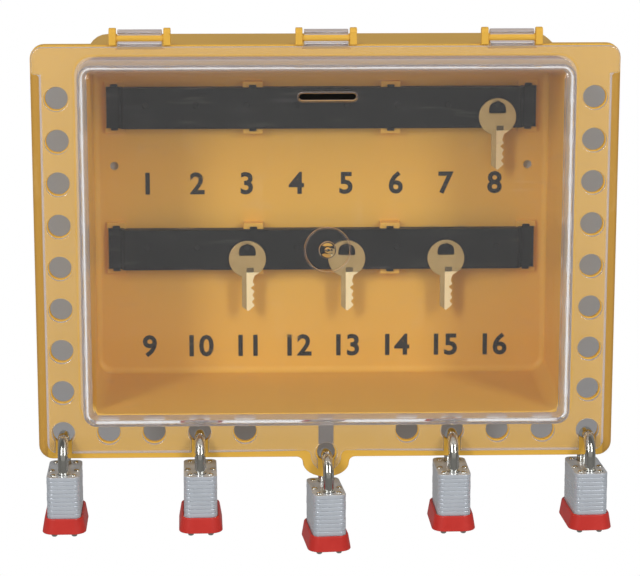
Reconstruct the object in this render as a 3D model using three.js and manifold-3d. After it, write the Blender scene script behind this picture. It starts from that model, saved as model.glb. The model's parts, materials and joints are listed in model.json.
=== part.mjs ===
// Group lockout box for a wall: a deep yellow shell with a wide flange, a clear cover that hangs on
// three bars along the top edge, two black key rails with pegs, four keys and five laminated padlocks.
//
// Millimetres. X runs to the right, -Y out of the wall towards the viewer and Z up. The origin is on
// the wall face, at the middle of the flange's width and height.

import * as THREE from 'three';
import { mergeVertices } from 'three/addons/utils/BufferGeometryUtils.js';
import Module from 'manifold-3d';

const wasm = await Module();
wasm.setup();
const { Manifold, Mesh: SolidMesh } = wasm;

// Clearances, and the share of a full half round that an end takes
const TOUCH_GAP = 0.3;
const OVERRUN = 2;
const ROUND_END_SHARE = 0.99;

// Shell: the moulded housing and its flange
const FLANGE_WIDTH = 382;
const FLANGE_HEIGHT = 276;
const FLANGE_CORNER = 9;
const FLANGE_THICKNESS = 3.5;
const SKIRT_DEPTH = 4.5;
const SKIRT_WALL = 2.5;
const SIDE_BAND = 30;
const TOP_BAND = 5;
const BOTTOM_BAND = 28;
const BODY_DEPTH = 112;
const BODY_CORNER = 14;
const BODY_EDGE_ROUND = 4;
const BODY_WALL = 3;
const BACK_WALL = 3;
const SCREW_HOLE_RADIUS = 3;
const SCREW_INSET = 17;
const SCREW_BELOW_RAIL = 41.7;

// Padlock holes round three sides of the flange
const HOLE_RADIUS = 7.4;
const COVER_HOLE_RADIUS = 8.5;
const COLUMN_INSET = 16.7;
const COLUMN_TOP_INSET = 34.5;
const COLUMN_PITCH = 27.9;
const COLUMN_COUNT = 8;
const ROW_INSET = 18.6;
const ROW_FIRST_X = 53.9;
const ROW_COUNT = 4;

// Lobe in the middle of the lower edge, with its hole and the slot above it
const LOBE_RADIUS = 15.5;
const LOBE_DROP = 14;
const LOBE_FILLET = 4;
const LOBE_HOLE_RADIUS = 6;
const LOBE_HOLE_RISE = 3.7;
const LOBE_COVER_HOLE_RADIUS = 7.2;
const LOBE_SLOT_WIDTH = 10;
const LOBE_SLOT_BELOW_BODY = 2.5;
const LOBE_SKIRT_GAP = 20;

// Hinge bars between lugs on the top edge
const HINGE_PITCH = 120;
const HINGE_OFFSETS = [-1, 0, 1];
const BAR_RADIUS = 2.5;
const BAR_RISE = 4.2;
const LUG_SPAN = 30.5;
const LUG_THICKNESS = 4.6;
const LUG_RISE = 10.8;
const LUG_DEPTH = 7;
const LUG_ROUND = 2.4;
const HOOK_WIDTH = 28.5;
const HOOK_OUTER_RADIUS = 5.6;
const HOOK_CLEARANCE = 0.25;
const HOOK_MOUTH_HALF_ANGLE = Math.PI / 4;
const HOOK_RELIEF = 0.9;

// Clear cover
const COVER_THICKNESS = 3.5;
const COVER_TOP_MARGIN = 1;
const COVER_SIDE_MARGIN = 6;
const COVER_BOTTOM_MARGIN = 4.6;
const COVER_STEP_DROP = 18.7;
const COVER_CORNER = 7;
const COVER_LOBE_MARGIN = 5.5;
const WINDOW_SIDE_MARGIN = 0.5;
const WINDOW_TOP_MARGIN = 4;
const WINDOW_CORNER = 10;
const WINDOW_RISE = 28;
const WINDOW_DRAFT = 1.6;
const WINDOW_WALL = 3;
const WINDOW_EDGE_ROUND = 5;
const DROP_SLOT_WIDTH = 36.4;
const DROP_SLOT_HEIGHT = 4.4;
const DROP_SLOT_RIM = 1.1;
const DROP_SLOT_BELOW_TOP = 20.8;
const DIAL_RADIUS = 15.2;
const DIAL_RING_WALL = 1.2;
const DIAL_BUTTON_RADIUS = 5.7;
const DIAL_RISE = 0.7;
const RELIEF_SLOT_WIDTH = 11;

// Key rails inside
const RAIL_END_GAP = 9.4;
const RAIL_FOOT = 10.2;
const RAIL_HEIGHT = 28.4;
const RAIL_SHEET = 2;
const RAIL_RAISE = 6;
const RAIL_BEND = 2.4;
const UPPER_RAIL_DROP = 47.3;
const RAIL_SPACING = 99.2;
const END_PAD_INSET = 5.4;
const MID_PAD_SPACING = 95.2;
const PAD_WIDTH = 13.7;
const PAD_MARGIN = 4;
const PAD_RISE = 2.6;
const TAB_WIDTH = 5;
const TAB_RISE = 1.8;
const PEG_COUNT = 8;
const PEG_RADIUS = 1.6;
const PEG_HEAD_RADIUS = 2.3;
const PEG_HEAD_LENGTH = 1.2;
const PEG_LENGTH = 7.5;
const PEG_ABOVE_CENTRE = 1.8;
const PEG_TILT = Math.PI / 20;

// Keys
const KEY_BOW_RADIUS = 12.9;
const KEY_BOW_ROOF = 2.7;
const KEY_EYE_WIDTH = 11.8;
const KEY_EYE_HEIGHT = 7.8;
const KEY_LENGTH = 50;
const KEY_BLADE_WIDTH = 8.8;
const KEY_BLADE_OFFSET = 0.4;
const KEY_NECK_DROP = 25;
const KEY_THICKNESS = 2;
const KEY_GROOVE_WIDTH = 2.6;
const KEY_GROOVE_DEPTH = 0.5;
const KEY_STANDOFF = 1.6;
const KEY_CUT_DEPTH = 1.7;
const KEY_CUT_SHARES = [0.16, 0.34, 0.55, 0.74];

// Padlocks
const SHACKLE_RADIUS = 3.6;
const SHACKLE_BEND = 13;
const SHACKLE_REACH = 19;
const TOE_DEPTH = 8;
const HEEL_DEPTH = 20;
const LEG_CLEARANCE = 0.5;
const CASE_WIDTH = 25;
const CASE_LENGTH = 43;
const CASE_CORNER = 4.5;
const PLATE_COUNT = 7;
const PLATE_PITCH = 4;
const PLATE_EDGE = 0.6;
const PLATE_LAP = 0.1;
const BUMPER_HEIGHT = 10.5;
const BUMPER_WALL = 1.5;
const BUMPER_FLARE = 0.6;
const BUMPER_CORNER = 6;
const RIVET_X = 7.4;
const RIVET_Y = 16;
const RIVET_HEAD_RADIUS = 2;
const RIVET_HEAD_RISE = 1.1;
const PLUG_RADIUS = 5.6;
const PLUG_LENGTH = 12;
const KEYWAY_WIDTH = 1.4;
const KEYWAY_HEIGHT = 7;
const KEYWAY_DEPTH = 6;

// Facet counts
const HOLE_SIDES = 12;
const BORE_SIDES = 10;
const CORNER_SEGMENTS = 2;
const CASE_CORNER_SEGMENTS = 1;
const LOBE_SEGMENTS = 4;
const ROUND_SEGMENTS = 2;
const BAR_SIDES = 12;
const RING_SIDES = 20;
const PEG_SIDES = 6;
const SHACKLE_SIDES = 10;
const BEND_STEPS = 10;
const SHACKLE_STEPS = BEND_STEPS + 2;

// Places in the shell
const FLANGE_BACK_Y = -BODY_DEPTH;
const FLANGE_FRONT_Y = FLANGE_BACK_Y - FLANGE_THICKNESS;
const SKIRT_BACK_Y = FLANGE_BACK_Y + SKIRT_DEPTH;
const INNER_BACK_Y = -BACK_WALL;
const FLANGE_HALF = FLANGE_WIDTH / 2;
const FLANGE_TOP = FLANGE_HEIGHT / 2;
const FLANGE_BOTTOM = -FLANGE_HEIGHT / 2;
const BODY_HALF = FLANGE_HALF - SIDE_BAND;
const BODY_TOP = FLANGE_TOP - TOP_BAND;
const BODY_BOTTOM = FLANGE_BOTTOM + BOTTOM_BAND;
const COLUMN_X = FLANGE_HALF - COLUMN_INSET;
const COLUMN_TOP_Z = FLANGE_TOP - COLUMN_TOP_INSET;
const COLUMN_ZS = Array.from({ length: COLUMN_COUNT }, (_, i) => COLUMN_TOP_Z - i * COLUMN_PITCH);
const ROW_Z = FLANGE_BOTTOM + ROW_INSET;
const ROW_PITCH = (COLUMN_X - ROW_FIRST_X) / ROW_COUNT;
const ROW_XS = Array.from({ length: ROW_COUNT }, (_, i) => ROW_FIRST_X + i * ROW_PITCH);
const LOBE_HOLE_Z = FLANGE_BOTTOM + LOBE_HOLE_RISE;
const BAR_Y = (FLANGE_BACK_Y + FLANGE_FRONT_Y) / 2;
const BAR_Z = FLANGE_TOP + BAR_RISE;

// Places on the cover
const COVER_BACK_Y = FLANGE_FRONT_Y - TOUCH_GAP;
const COVER_FRONT_Y = COVER_BACK_Y - COVER_THICKNESS;
const COVER_RIM_Z = FLANGE_BOTTOM + COVER_BOTTOM_MARGIN;
const COVER_LOBE_RIM_Z = FLANGE_BOTTOM - LOBE_DROP + COVER_LOBE_MARGIN;
const WINDOW_HALF = BODY_HALF - WINDOW_SIDE_MARGIN;
const WINDOW_TOP = BODY_TOP - WINDOW_TOP_MARGIN;
const WINDOW_BOTTOM = BODY_BOTTOM - WINDOW_SIDE_MARGIN;
const WINDOW_MIDDLE_Z = (WINDOW_TOP + WINDOW_BOTTOM) / 2;
const WINDOW_FRONT_Y = COVER_FRONT_Y - WINDOW_RISE;
const DROP_SLOT_Z = WINDOW_TOP - DROP_SLOT_BELOW_TOP;
const STACK_MIDDLE_Y = (FLANGE_BACK_Y + COVER_FRONT_Y) / 2;
const HALF_STACK = (FLANGE_BACK_Y - COVER_FRONT_Y) / 2;

// Places on the rails
const RAIL_HALF = BODY_HALF - BODY_WALL - RAIL_END_GAP;
const RAIL_RAISED_HALF = RAIL_HALF - RAIL_FOOT;
const RAIL_BACK_Y = INNER_BACK_Y - PAD_RISE - TOUCH_GAP;
const RAIL_FOOT_Y = RAIL_BACK_Y - RAIL_SHEET;
const RAIL_FRONT_Y = RAIL_FOOT_Y - RAIL_RAISE;
const UPPER_RAIL_Z = BODY_TOP - BODY_WALL - UPPER_RAIL_DROP;
const LOWER_RAIL_Z = UPPER_RAIL_Z - RAIL_SPACING;
const END_PAD_X = RAIL_HALF - END_PAD_INSET;
const MID_PAD_X = MID_PAD_SPACING / 2;
const PEG_PITCH = 2 * RAIL_RAISED_HALF / PEG_COUNT;
const PEG_XS = Array.from({ length: PEG_COUNT }, (_, i) => (i - (PEG_COUNT - 1) / 2) * PEG_PITCH);

// Heights on a padlock, from the middle of its shackle's crown
const CASE_TOP = -(SHACKLE_RADIUS + SHACKLE_REACH);
const BUMPER_TOP = CASE_TOP - PLATE_COUNT * PLATE_PITCH;
const CASE_BOTTOM = BUMPER_TOP - BUMPER_HEIGHT;

// Looks of the materials, as seen on the box
const finish = (color, roughness, metalness, opacity = 1) =>
  new THREE.MeshStandardMaterial({
    color, roughness, metalness, opacity, transparent: opacity < 1, flatShading: true,
  });
const YELLOW = finish(0xd8a548, 0.45, 0);
const CLEAR = finish(0xe8e6ea, 0.08, 0, 0.3);
const BLACK = finish(0x3a3a36, 0.5, 0);
const KEY_METAL = finish(0xb5a27a, 0.35, 1);
const PLATE_STEEL = finish(0xb4b8bf, 0.35, 1);
const CHROME = finish(0xd8d8d4, 0.12, 1);
const RED = finish(0xc8352a, 0.4, 0);
const BRASS = finish(0xb08d4a, 0.35, 1);

// Turns a closed geometry into a solid that can be cut and joined.
function solid(geometry) {
  const bare = geometry.clone();
  bare.deleteAttribute('normal');
  bare.deleteAttribute('uv');
  const merged = mergeVertices(bare);
  return new Manifold(new SolidMesh({
    numProp: 3,
    vertProperties: new Float32Array(merged.attributes.position.array),
    triVerts: new Uint32Array(merged.index.array),
  }));
}

// Turns a solid back into a named mesh.
function piece(name, body, material) {
  const { vertProperties, triVerts } = body.getMesh();
  const geometry = new THREE.BufferGeometry();
  geometry.setAttribute('position', new THREE.BufferAttribute(Float32Array.from(vertProperties), 3));
  geometry.setIndex(new THREE.BufferAttribute(Uint32Array.from(triVerts), 1));
  geometry.computeVertexNormals();
  const mesh = new THREE.Mesh(geometry, material);
  mesh.name = name;
  return mesh;
}

// A slab of an outline drawn in X and Z, reaching from backY towards the viewer.
function slab(outline, backY, thickness, segments = CORNER_SEGMENTS) {
  const geometry = new THREE.ExtrudeGeometry(outline, {
    depth: thickness, bevelEnabled: false, curveSegments: segments,
  });
  return solid(geometry.rotateX(Math.PI / 2).translate(0, backY, 0));
}

// The same slab with its front and back edges rounded over.
function roundedSlab(outline, backY, thickness, edge, reshape = (geometry) => geometry) {
  const geometry = new THREE.ExtrudeGeometry(outline, {
    depth: thickness - 2 * edge,
    bevelEnabled: true,
    bevelThickness: edge,
    bevelSize: edge,
    bevelOffset: -edge,
    bevelSegments: ROUND_SEGMENTS,
    curveSegments: CORNER_SEGMENTS,
  });
  return solid(reshape(geometry.rotateX(Math.PI / 2).translate(0, backY - edge, 0)));
}

// A prism of an outline drawn in X and Y, reaching down from topZ.
function prism(outline, topZ, height, segments = CORNER_SEGMENTS) {
  const geometry = new THREE.ExtrudeGeometry(outline, {
    depth: height, bevelEnabled: false, curveSegments: segments,
  });
  return solid(geometry.translate(0, 0, topZ - height));
}

// A rectangle with round corners, between two corners of its plane.
function roundedRectangle(left, low, right, high, radius) {
  const shape = new THREE.Shape();
  shape.moveTo(left + radius, low);
  shape.lineTo(right - radius, low);
  shape.absarc(right - radius, low + radius, radius, -Math.PI / 2, 0);
  shape.lineTo(right, high - radius);
  shape.absarc(right - radius, high - radius, radius, 0, Math.PI / 2);
  shape.lineTo(left + radius, high);
  shape.absarc(left + radius, high - radius, radius, Math.PI / 2, Math.PI);
  shape.lineTo(left, low + radius);
  shape.absarc(left + radius, low + radius, radius, Math.PI, 1.5 * Math.PI);
  return shape;
}

function box(left, right, backY, frontY, low, high) {
  const geometry = new THREE.BoxGeometry(right - left, backY - frontY, high - low);
  return solid(geometry.translate((left + right) / 2, (backY + frontY) / 2, (low + high) / 2));
}

// A round rod along X, Y or Z about its middle point.
function rod(radius, length, axis, [x, y, z], sides, endRadius = radius) {
  const geometry = new THREE.CylinderGeometry(radius, endRadius, length, sides);
  if (axis === 'X') geometry.rotateZ(Math.PI / 2);
  if (axis === 'Z') geometry.rotateX(Math.PI / 2);
  return solid(geometry.translate(x, y, z));
}

const union = (bodies) => bodies.reduce((whole, body) => whole.add(body));
const minus = (body, cuts) => cuts.reduce((rest, cut) => rest.subtract(cut), body);
const ends = (x) => [-x, x];

// Round holes through the flange and the cover, on both side columns, the lower row and its corners.
function holeCentres() {
  const centres = [];
  for (const x of ends(COLUMN_X)) {
    for (const z of COLUMN_ZS) centres.push([x, z]);
    centres.push([x, ROW_Z]);
  }
  for (const x of ROW_XS) centres.push([-x, ROW_Z], [x, ROW_Z]);
  return centres;
}

function drilled(centres, radius, backY, frontY) {
  const middle = (backY + frontY) / 2;
  return centres.map(([x, z]) => rod(radius, backY - frontY, 'Y', [x, middle, z], HOLE_SIDES));
}

// The lobe below the lower edge: two fillets into a round nose.
function lobeOutline(margin) {
  const radius = LOBE_RADIUS - margin;
  const edge = FLANGE_BOTTOM + margin;
  const foot = radius + LOBE_FILLET;
  const inside = LOBE_FILLET + OVERRUN;
  const shape = new THREE.Shape();
  shape.moveTo(-foot, edge + inside);
  shape.lineTo(-foot, edge);
  shape.absarc(-foot, edge - LOBE_FILLET, LOBE_FILLET, Math.PI / 2, 0, true);
  shape.absellipse(0, edge - LOBE_FILLET, radius, LOBE_DROP - LOBE_FILLET, -Math.PI, 0);
  shape.absarc(foot, edge - LOBE_FILLET, LOBE_FILLET, Math.PI, Math.PI / 2, true);
  shape.lineTo(foot, edge + inside);
  return shape;
}

// The two end lugs and the bar of one hinge, centred on x.
function hingeLugs(x) {
  const profile = new THREE.Shape();
  const front = LUG_DEPTH / 2;
  profile.moveTo(-front, -BAR_RISE);
  profile.lineTo(-front, LUG_RISE - BAR_RISE - LUG_ROUND);
  profile.quadraticCurveTo(-front, LUG_RISE - BAR_RISE, -front + LUG_ROUND, LUG_RISE - BAR_RISE);
  profile.lineTo(front - LUG_ROUND, LUG_RISE - BAR_RISE);
  profile.quadraticCurveTo(front, LUG_RISE - BAR_RISE, front, LUG_RISE - BAR_RISE - LUG_ROUND);
  profile.lineTo(front, -BAR_RISE - FLANGE_THICKNESS);
  profile.lineTo(-FLANGE_THICKNESS / 2, -BAR_RISE - FLANGE_THICKNESS);
  profile.lineTo(-FLANGE_THICKNESS / 2, -BAR_RISE);
  const plate = new THREE.ExtrudeGeometry(profile, {
    depth: LUG_THICKNESS, bevelEnabled: false, curveSegments: CORNER_SEGMENTS,
  }).rotateY(Math.PI / 2).rotateX(Math.PI / 2);
  const lugAt = (left) => solid(plate.clone().translate(left, BAR_Y, BAR_Z));
  const inner = LUG_SPAN / 2;
  const length = LUG_SPAN + LUG_THICKNESS;
  return [
    lugAt(x - inner - LUG_THICKNESS),
    lugAt(x + inner),
    rod(BAR_RADIUS, length, 'X', [x, BAR_Y, BAR_Z], BAR_SIDES),
  ];
}

// Pads on the back wall that carry a rail. The middle ones reach the back of its raised face.
function railPads(railZ) {
  const half = RAIL_HEIGHT / 2 + PAD_MARGIN;
  const rooted = INNER_BACK_Y + BACK_WALL / 2;
  const pad = (x, rise) => box(
    x - PAD_WIDTH / 2, x + PAD_WIDTH / 2, rooted, INNER_BACK_Y - rise, railZ - half, railZ + half,
  );
  return [
    ...ends(END_PAD_X).map((x) => pad(x, PAD_RISE)),
    ...ends(MID_PAD_X).map((x) => pad(x, PAD_RISE + RAIL_RAISE)),
  ];
}

// The flange: a plate with round corners, a skirt behind its edge and the lobe below it.
function flange() {
  const outline = roundedRectangle(-FLANGE_HALF, FLANGE_BOTTOM, FLANGE_HALF, FLANGE_TOP, FLANGE_CORNER);
  const insideSkirt = roundedRectangle(
    -FLANGE_HALF + SKIRT_WALL, FLANGE_BOTTOM + SKIRT_WALL,
    FLANGE_HALF - SKIRT_WALL, FLANGE_TOP - SKIRT_WALL, FLANGE_CORNER - SKIRT_WALL,
  );
  const lobeGap = LOBE_SKIRT_GAP / 2;
  return slab(outline, SKIRT_BACK_Y, SKIRT_DEPTH + FLANGE_THICKNESS)
    .subtract(slab(insideSkirt, SKIRT_BACK_Y + OVERRUN, SKIRT_DEPTH + OVERRUN))
    .subtract(box(
      -lobeGap, lobeGap, SKIRT_BACK_Y + OVERRUN, FLANGE_BACK_Y,
      FLANGE_BOTTOM - OVERRUN, FLANGE_BOTTOM + SKIRT_WALL + OVERRUN,
    ))
    .add(slab(lobeOutline(0), FLANGE_BACK_Y, FLANGE_THICKNESS, LOBE_SEGMENTS));
}

// The deep box behind the flange, before it is hollowed.
function body() {
  return roundedSlab(
    roundedRectangle(-BODY_HALF, BODY_BOTTOM, BODY_HALF, BODY_TOP, BODY_CORNER),
    0, BODY_DEPTH + FLANGE_THICKNESS + BODY_EDGE_ROUND, BODY_EDGE_ROUND,
  ).subtract(box(
    -FLANGE_HALF, FLANGE_HALF, BAR_Y, FLANGE_FRONT_Y - 2 * BODY_EDGE_ROUND, FLANGE_BOTTOM, FLANGE_TOP,
  ));
}

function shell() {
  const innerHalf = BODY_HALF - BODY_WALL;
  const cavity = roundedSlab(
    roundedRectangle(
      -innerHalf, BODY_BOTTOM + BODY_WALL, innerHalf, BODY_TOP - BODY_WALL, BODY_CORNER - BODY_WALL,
    ),
    INNER_BACK_Y, BODY_DEPTH + 2 * BODY_EDGE_ROUND, BODY_EDGE_ROUND,
  );
  const bayHalf = HOOK_WIDTH / 2 + HOOK_RELIEF;
  const bayBottom = Math.min(BAR_Z - HOOK_OUTER_RADIUS - HOOK_RELIEF, FLANGE_TOP - SKIRT_WALL);
  const hinges = HINGE_OFFSETS.map((offset) => offset * HINGE_PITCH);
  const backY = SKIRT_BACK_Y + OVERRUN;
  const frontY = FLANGE_FRONT_Y - OVERRUN;
  const hookBays = hinges.map((x) => box(x - bayHalf, x + bayHalf, backY, frontY, bayBottom, BAR_Z));
  const lobeSlot = box(
    -LOBE_SLOT_WIDTH / 2, LOBE_SLOT_WIDTH / 2, backY, frontY,
    LOBE_HOLE_Z, BODY_BOTTOM - LOBE_SLOT_BELOW_BODY,
  );
  const walls = minus(flange().add(body()), [
    cavity, lobeSlot, ...hookBays,
    ...drilled(holeCentres(), HOLE_RADIUS, backY, frontY),
    ...drilled([[0, LOBE_HOLE_Z]], LOBE_HOLE_RADIUS, backY, frontY),
    ...drilled(
      ends(BODY_HALF - SCREW_INSET).map((x) => [x, UPPER_RAIL_Z - SCREW_BELOW_RAIL]),
      SCREW_HOLE_RADIUS, OVERRUN, INNER_BACK_Y - OVERRUN,
    ),
  ]);
  return piece('shell', union([
    walls, ...hinges.flatMap(hingeLugs), ...railPads(UPPER_RAIL_Z), ...railPads(LOWER_RAIL_Z),
  ]), YELLOW);
}

// Narrows the raised window towards its front, about its own middle.
function withDraft(geometry) {
  const points = geometry.attributes.position;
  for (let i = 0; i < points.count; i += 1) {
    const inset = WINDOW_DRAFT * Math.max(0, COVER_FRONT_Y - points.getY(i)) / WINDOW_RISE;
    points.setX(i, points.getX(i) - Math.sign(points.getX(i)) * inset);
    points.setZ(i, points.getZ(i) - Math.sign(points.getZ(i) - WINDOW_MIDDLE_Z) * inset);
  }
  return geometry;
}

// The cover's plate: a little wider above its step than below it.
function coverOutline() {
  const top = FLANGE_TOP - COVER_TOP_MARGIN;
  const step = FLANGE_TOP - COVER_STEP_DROP;
  const wide = FLANGE_HALF - COVER_TOP_MARGIN;
  const narrow = FLANGE_HALF - COVER_SIDE_MARGIN;
  const r = COVER_CORNER;
  const shape = new THREE.Shape();
  shape.moveTo(-narrow + r, COVER_RIM_Z);
  shape.lineTo(narrow - r, COVER_RIM_Z);
  shape.absarc(narrow - r, COVER_RIM_Z + r, r, -Math.PI / 2, 0);
  shape.lineTo(narrow, step);
  shape.lineTo(wide, step);
  shape.lineTo(wide, top - r);
  shape.absarc(wide - r, top - r, r, 0, Math.PI / 2);
  shape.lineTo(-wide + r, top);
  shape.absarc(-wide + r, top - r, r, Math.PI / 2, Math.PI);
  shape.lineTo(-wide, step);
  shape.lineTo(-narrow, step);
  shape.lineTo(-narrow, COVER_RIM_Z + r);
  shape.absarc(-narrow + r, COVER_RIM_Z + r, r, Math.PI, 1.5 * Math.PI);
  return shape;
}

// One open-mouthed hook of the cover: a ring round the bar with its mouth to the front, on a tab.
function hook(x) {
  const inner = BAR_RADIUS + HOOK_CLEARANCE;
  const ring = rod(HOOK_OUTER_RADIUS, HOOK_WIDTH, 'X', [x, BAR_Y, BAR_Z], BAR_SIDES);
  const bore = rod(inner, HOOK_WIDTH + OVERRUN, 'X', [x, BAR_Y, BAR_Z], BAR_SIDES);
  const reach = HOOK_OUTER_RADIUS + OVERRUN;
  const rise = reach * Math.tan(HOOK_MOUTH_HALF_ANGLE);
  const wedge = new THREE.Shape([
    new THREE.Vector2(0, 0), new THREE.Vector2(-reach, rise), new THREE.Vector2(-reach, -rise),
  ]);
  const mouth = new THREE.ExtrudeGeometry(wedge, { depth: HOOK_WIDTH + OVERRUN, bevelEnabled: false })
    .rotateY(Math.PI / 2).rotateX(Math.PI / 2)
    .translate(x - (HOOK_WIDTH + OVERRUN) / 2, BAR_Y, BAR_Z);
  const tab = box(
    x - HOOK_WIDTH / 2, x + HOOK_WIDTH / 2, COVER_BACK_Y, COVER_FRONT_Y,
    FLANGE_TOP - 2 * COVER_TOP_MARGIN, BAR_Z - BAR_RADIUS,
  );
  return ring.subtract(solid(mouth)).add(tab).subtract(bore);
}

// Slots through the cover below the padlocked holes, which the shackles leave by when it opens.
function reliefSlots() {
  const half = RELIEF_SLOT_WIDTH / 2;
  return LOCKS.map(({ x, holeZ, rimZ }) => box(
    x - half, x + half, COVER_BACK_Y + OVERRUN, COVER_FRONT_Y - OVERRUN, rimZ - OVERRUN, holeZ,
  ));
}

// The raised window as a solid, smaller by inset all round and at its front.
function windowSolid(inset) {
  const backY = COVER_BACK_Y + WINDOW_EDGE_ROUND;
  const half = WINDOW_HALF - inset;
  return roundedSlab(
    roundedRectangle(-half, WINDOW_BOTTOM + inset, half, WINDOW_TOP - inset, WINDOW_CORNER - inset),
    backY, backY - WINDOW_FRONT_Y - inset, WINDOW_EDGE_ROUND - inset / 2, withDraft,
  );
}

// The key slot's outline, a bar with round ends, grown by rim.
function dropSlot(rim) {
  const half = DROP_SLOT_HEIGHT / 2 + rim;
  const reach = DROP_SLOT_WIDTH / 2 + rim;
  return roundedRectangle(-reach, DROP_SLOT_Z - half, reach, DROP_SLOT_Z + half, half * ROUND_END_SHARE);
}

function cover() {
  const plate = slab(coverOutline(), COVER_BACK_Y, COVER_THICKNESS).add(slab(
    lobeOutline(COVER_LOBE_MARGIN), COVER_BACK_Y, COVER_THICKNESS, LOBE_SEGMENTS,
  ));
  const window = windowSolid(0).subtract(box(
    -FLANGE_HALF, FLANGE_HALF, COVER_BACK_Y + 2 * WINDOW_EDGE_ROUND, (COVER_BACK_Y + COVER_FRONT_Y) / 2,
    FLANGE_BOTTOM, FLANGE_TOP,
  ));
  const rooted = WINDOW_FRONT_Y + WINDOW_WALL / 2;
  const disc = (radius) => rod(
    radius, rooted - WINDOW_FRONT_Y + DIAL_RISE, 'Y',
    [0, (rooted + WINDOW_FRONT_Y - DIAL_RISE) / 2, WINDOW_MIDDLE_Z], RING_SIDES,
  );
  const raised = [
    slab(dropSlot(DROP_SLOT_RIM), rooted, rooted - WINDOW_FRONT_Y + DIAL_RISE),
    disc(DIAL_RADIUS).subtract(disc(DIAL_RADIUS - DIAL_RING_WALL)),
    disc(DIAL_BUTTON_RADIUS),
  ];
  const hooks = HINGE_OFFSETS.map((offset) => hook(offset * HINGE_PITCH));
  const backY = COVER_BACK_Y + OVERRUN;
  const frontY = COVER_FRONT_Y - OVERRUN;
  return piece('cover', minus(
    union([plate.add(window).subtract(windowSolid(WINDOW_WALL)), ...raised, ...hooks]),
    [
      slab(dropSlot(0), WINDOW_FRONT_Y + 2 * WINDOW_WALL, 2 * WINDOW_WALL + OVERRUN),
      ...drilled(holeCentres(), COVER_HOLE_RADIUS, backY, frontY),
      ...drilled([[0, LOBE_HOLE_Z]], LOBE_COVER_HOLE_RADIUS, backY, frontY),
      ...reliefSlots(),
    ],
  ), CLEAR);
}

// Half of the rail's section seen from above, from the end of its foot to the raised face.
const RAIL_OUTSIDE = [
  [RAIL_HALF, RAIL_FOOT_Y],
  [RAIL_RAISED_HALF + RAIL_BEND, RAIL_FOOT_Y],
  [RAIL_RAISED_HALF, RAIL_FRONT_Y + RAIL_BEND],
  [RAIL_RAISED_HALF - RAIL_BEND, RAIL_FRONT_Y],
];
const RAIL_INSIDE = [
  [RAIL_HALF, RAIL_BACK_Y],
  [RAIL_RAISED_HALF + RAIL_BEND - RAIL_SHEET, RAIL_BACK_Y],
  [RAIL_RAISED_HALF - RAIL_SHEET, RAIL_FRONT_Y + RAIL_BEND + RAIL_SHEET / 2],
  [RAIL_RAISED_HALF - RAIL_BEND - RAIL_SHEET / 2, RAIL_FRONT_Y + RAIL_SHEET],
];

// The whole section: the front from right to left, then the back from left to right.
function railOutline() {
  const mirror = ([x, y]) => [-x, y];
  return new THREE.Shape([
    ...RAIL_OUTSIDE, ...RAIL_OUTSIDE.map(mirror).reverse(),
    ...RAIL_INSIDE.map(mirror), ...[...RAIL_INSIDE].reverse(),
  ].map(([x, y]) => new THREE.Vector2(x, y)));
}

// One peg with its button head, tilted up so that keys stay on it.
function peg(x, z) {
  const root = RAIL_SHEET / 2;
  const shaft = new THREE.CylinderGeometry(PEG_RADIUS, PEG_RADIUS, PEG_LENGTH + root, PEG_SIDES)
    .translate(0, (root - PEG_LENGTH) / 2, 0);
  const head = new THREE.CylinderGeometry(PEG_RADIUS, PEG_HEAD_RADIUS, PEG_HEAD_LENGTH, PEG_SIDES)
    .translate(0, -PEG_LENGTH, 0);
  return [shaft, head].map((part) => solid(part.rotateX(-PEG_TILT).translate(x, RAIL_FRONT_Y, z)));
}

// A rail: its bent sheet, a lip along each long edge, snap tabs over the pads and a row of pegs.
function rail(name, centreZ) {
  const half = RAIL_HEIGHT / 2;
  const lipHalf = RAIL_RAISED_HALF - RAIL_SHEET;
  const insideY = RAIL_FRONT_Y + RAIL_SHEET;
  const lip = (z) => box(
    -lipHalf, lipHalf, RAIL_BACK_Y, insideY - RAIL_SHEET / 2, z - RAIL_SHEET / 2, z + RAIL_SHEET / 2,
  );
  const notch = (x) => box(
    x - PAD_WIDTH / 2 - TOUCH_GAP, x + PAD_WIDTH / 2 + TOUCH_GAP, RAIL_BACK_Y + OVERRUN, insideY,
    centreZ - half - OVERRUN, centreZ + half + OVERRUN,
  );
  const tab = (x, frontY) => box(
    x - TAB_WIDTH / 2, x + TAB_WIDTH / 2, frontY + RAIL_SHEET, frontY,
    centreZ - half - TAB_RISE, centreZ + half + TAB_RISE,
  );
  const sheet = prism(railOutline(), centreZ + half, RAIL_HEIGHT);
  const lipped = union([sheet, lip(centreZ + half - RAIL_SHEET / 2), lip(centreZ - half + RAIL_SHEET / 2)]);
  return piece(name, union([
    minus(lipped, ends(MID_PAD_X).map(notch)),
    ...ends(END_PAD_X).map((x) => tab(x, RAIL_FOOT_Y)),
    ...ends(MID_PAD_X).map((x) => tab(x, RAIL_FRONT_Y)),
    ...PEG_XS.flatMap((x) => peg(x, centreZ + PEG_ABOVE_CENTRE)),
  ]), BLACK);
}

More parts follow.
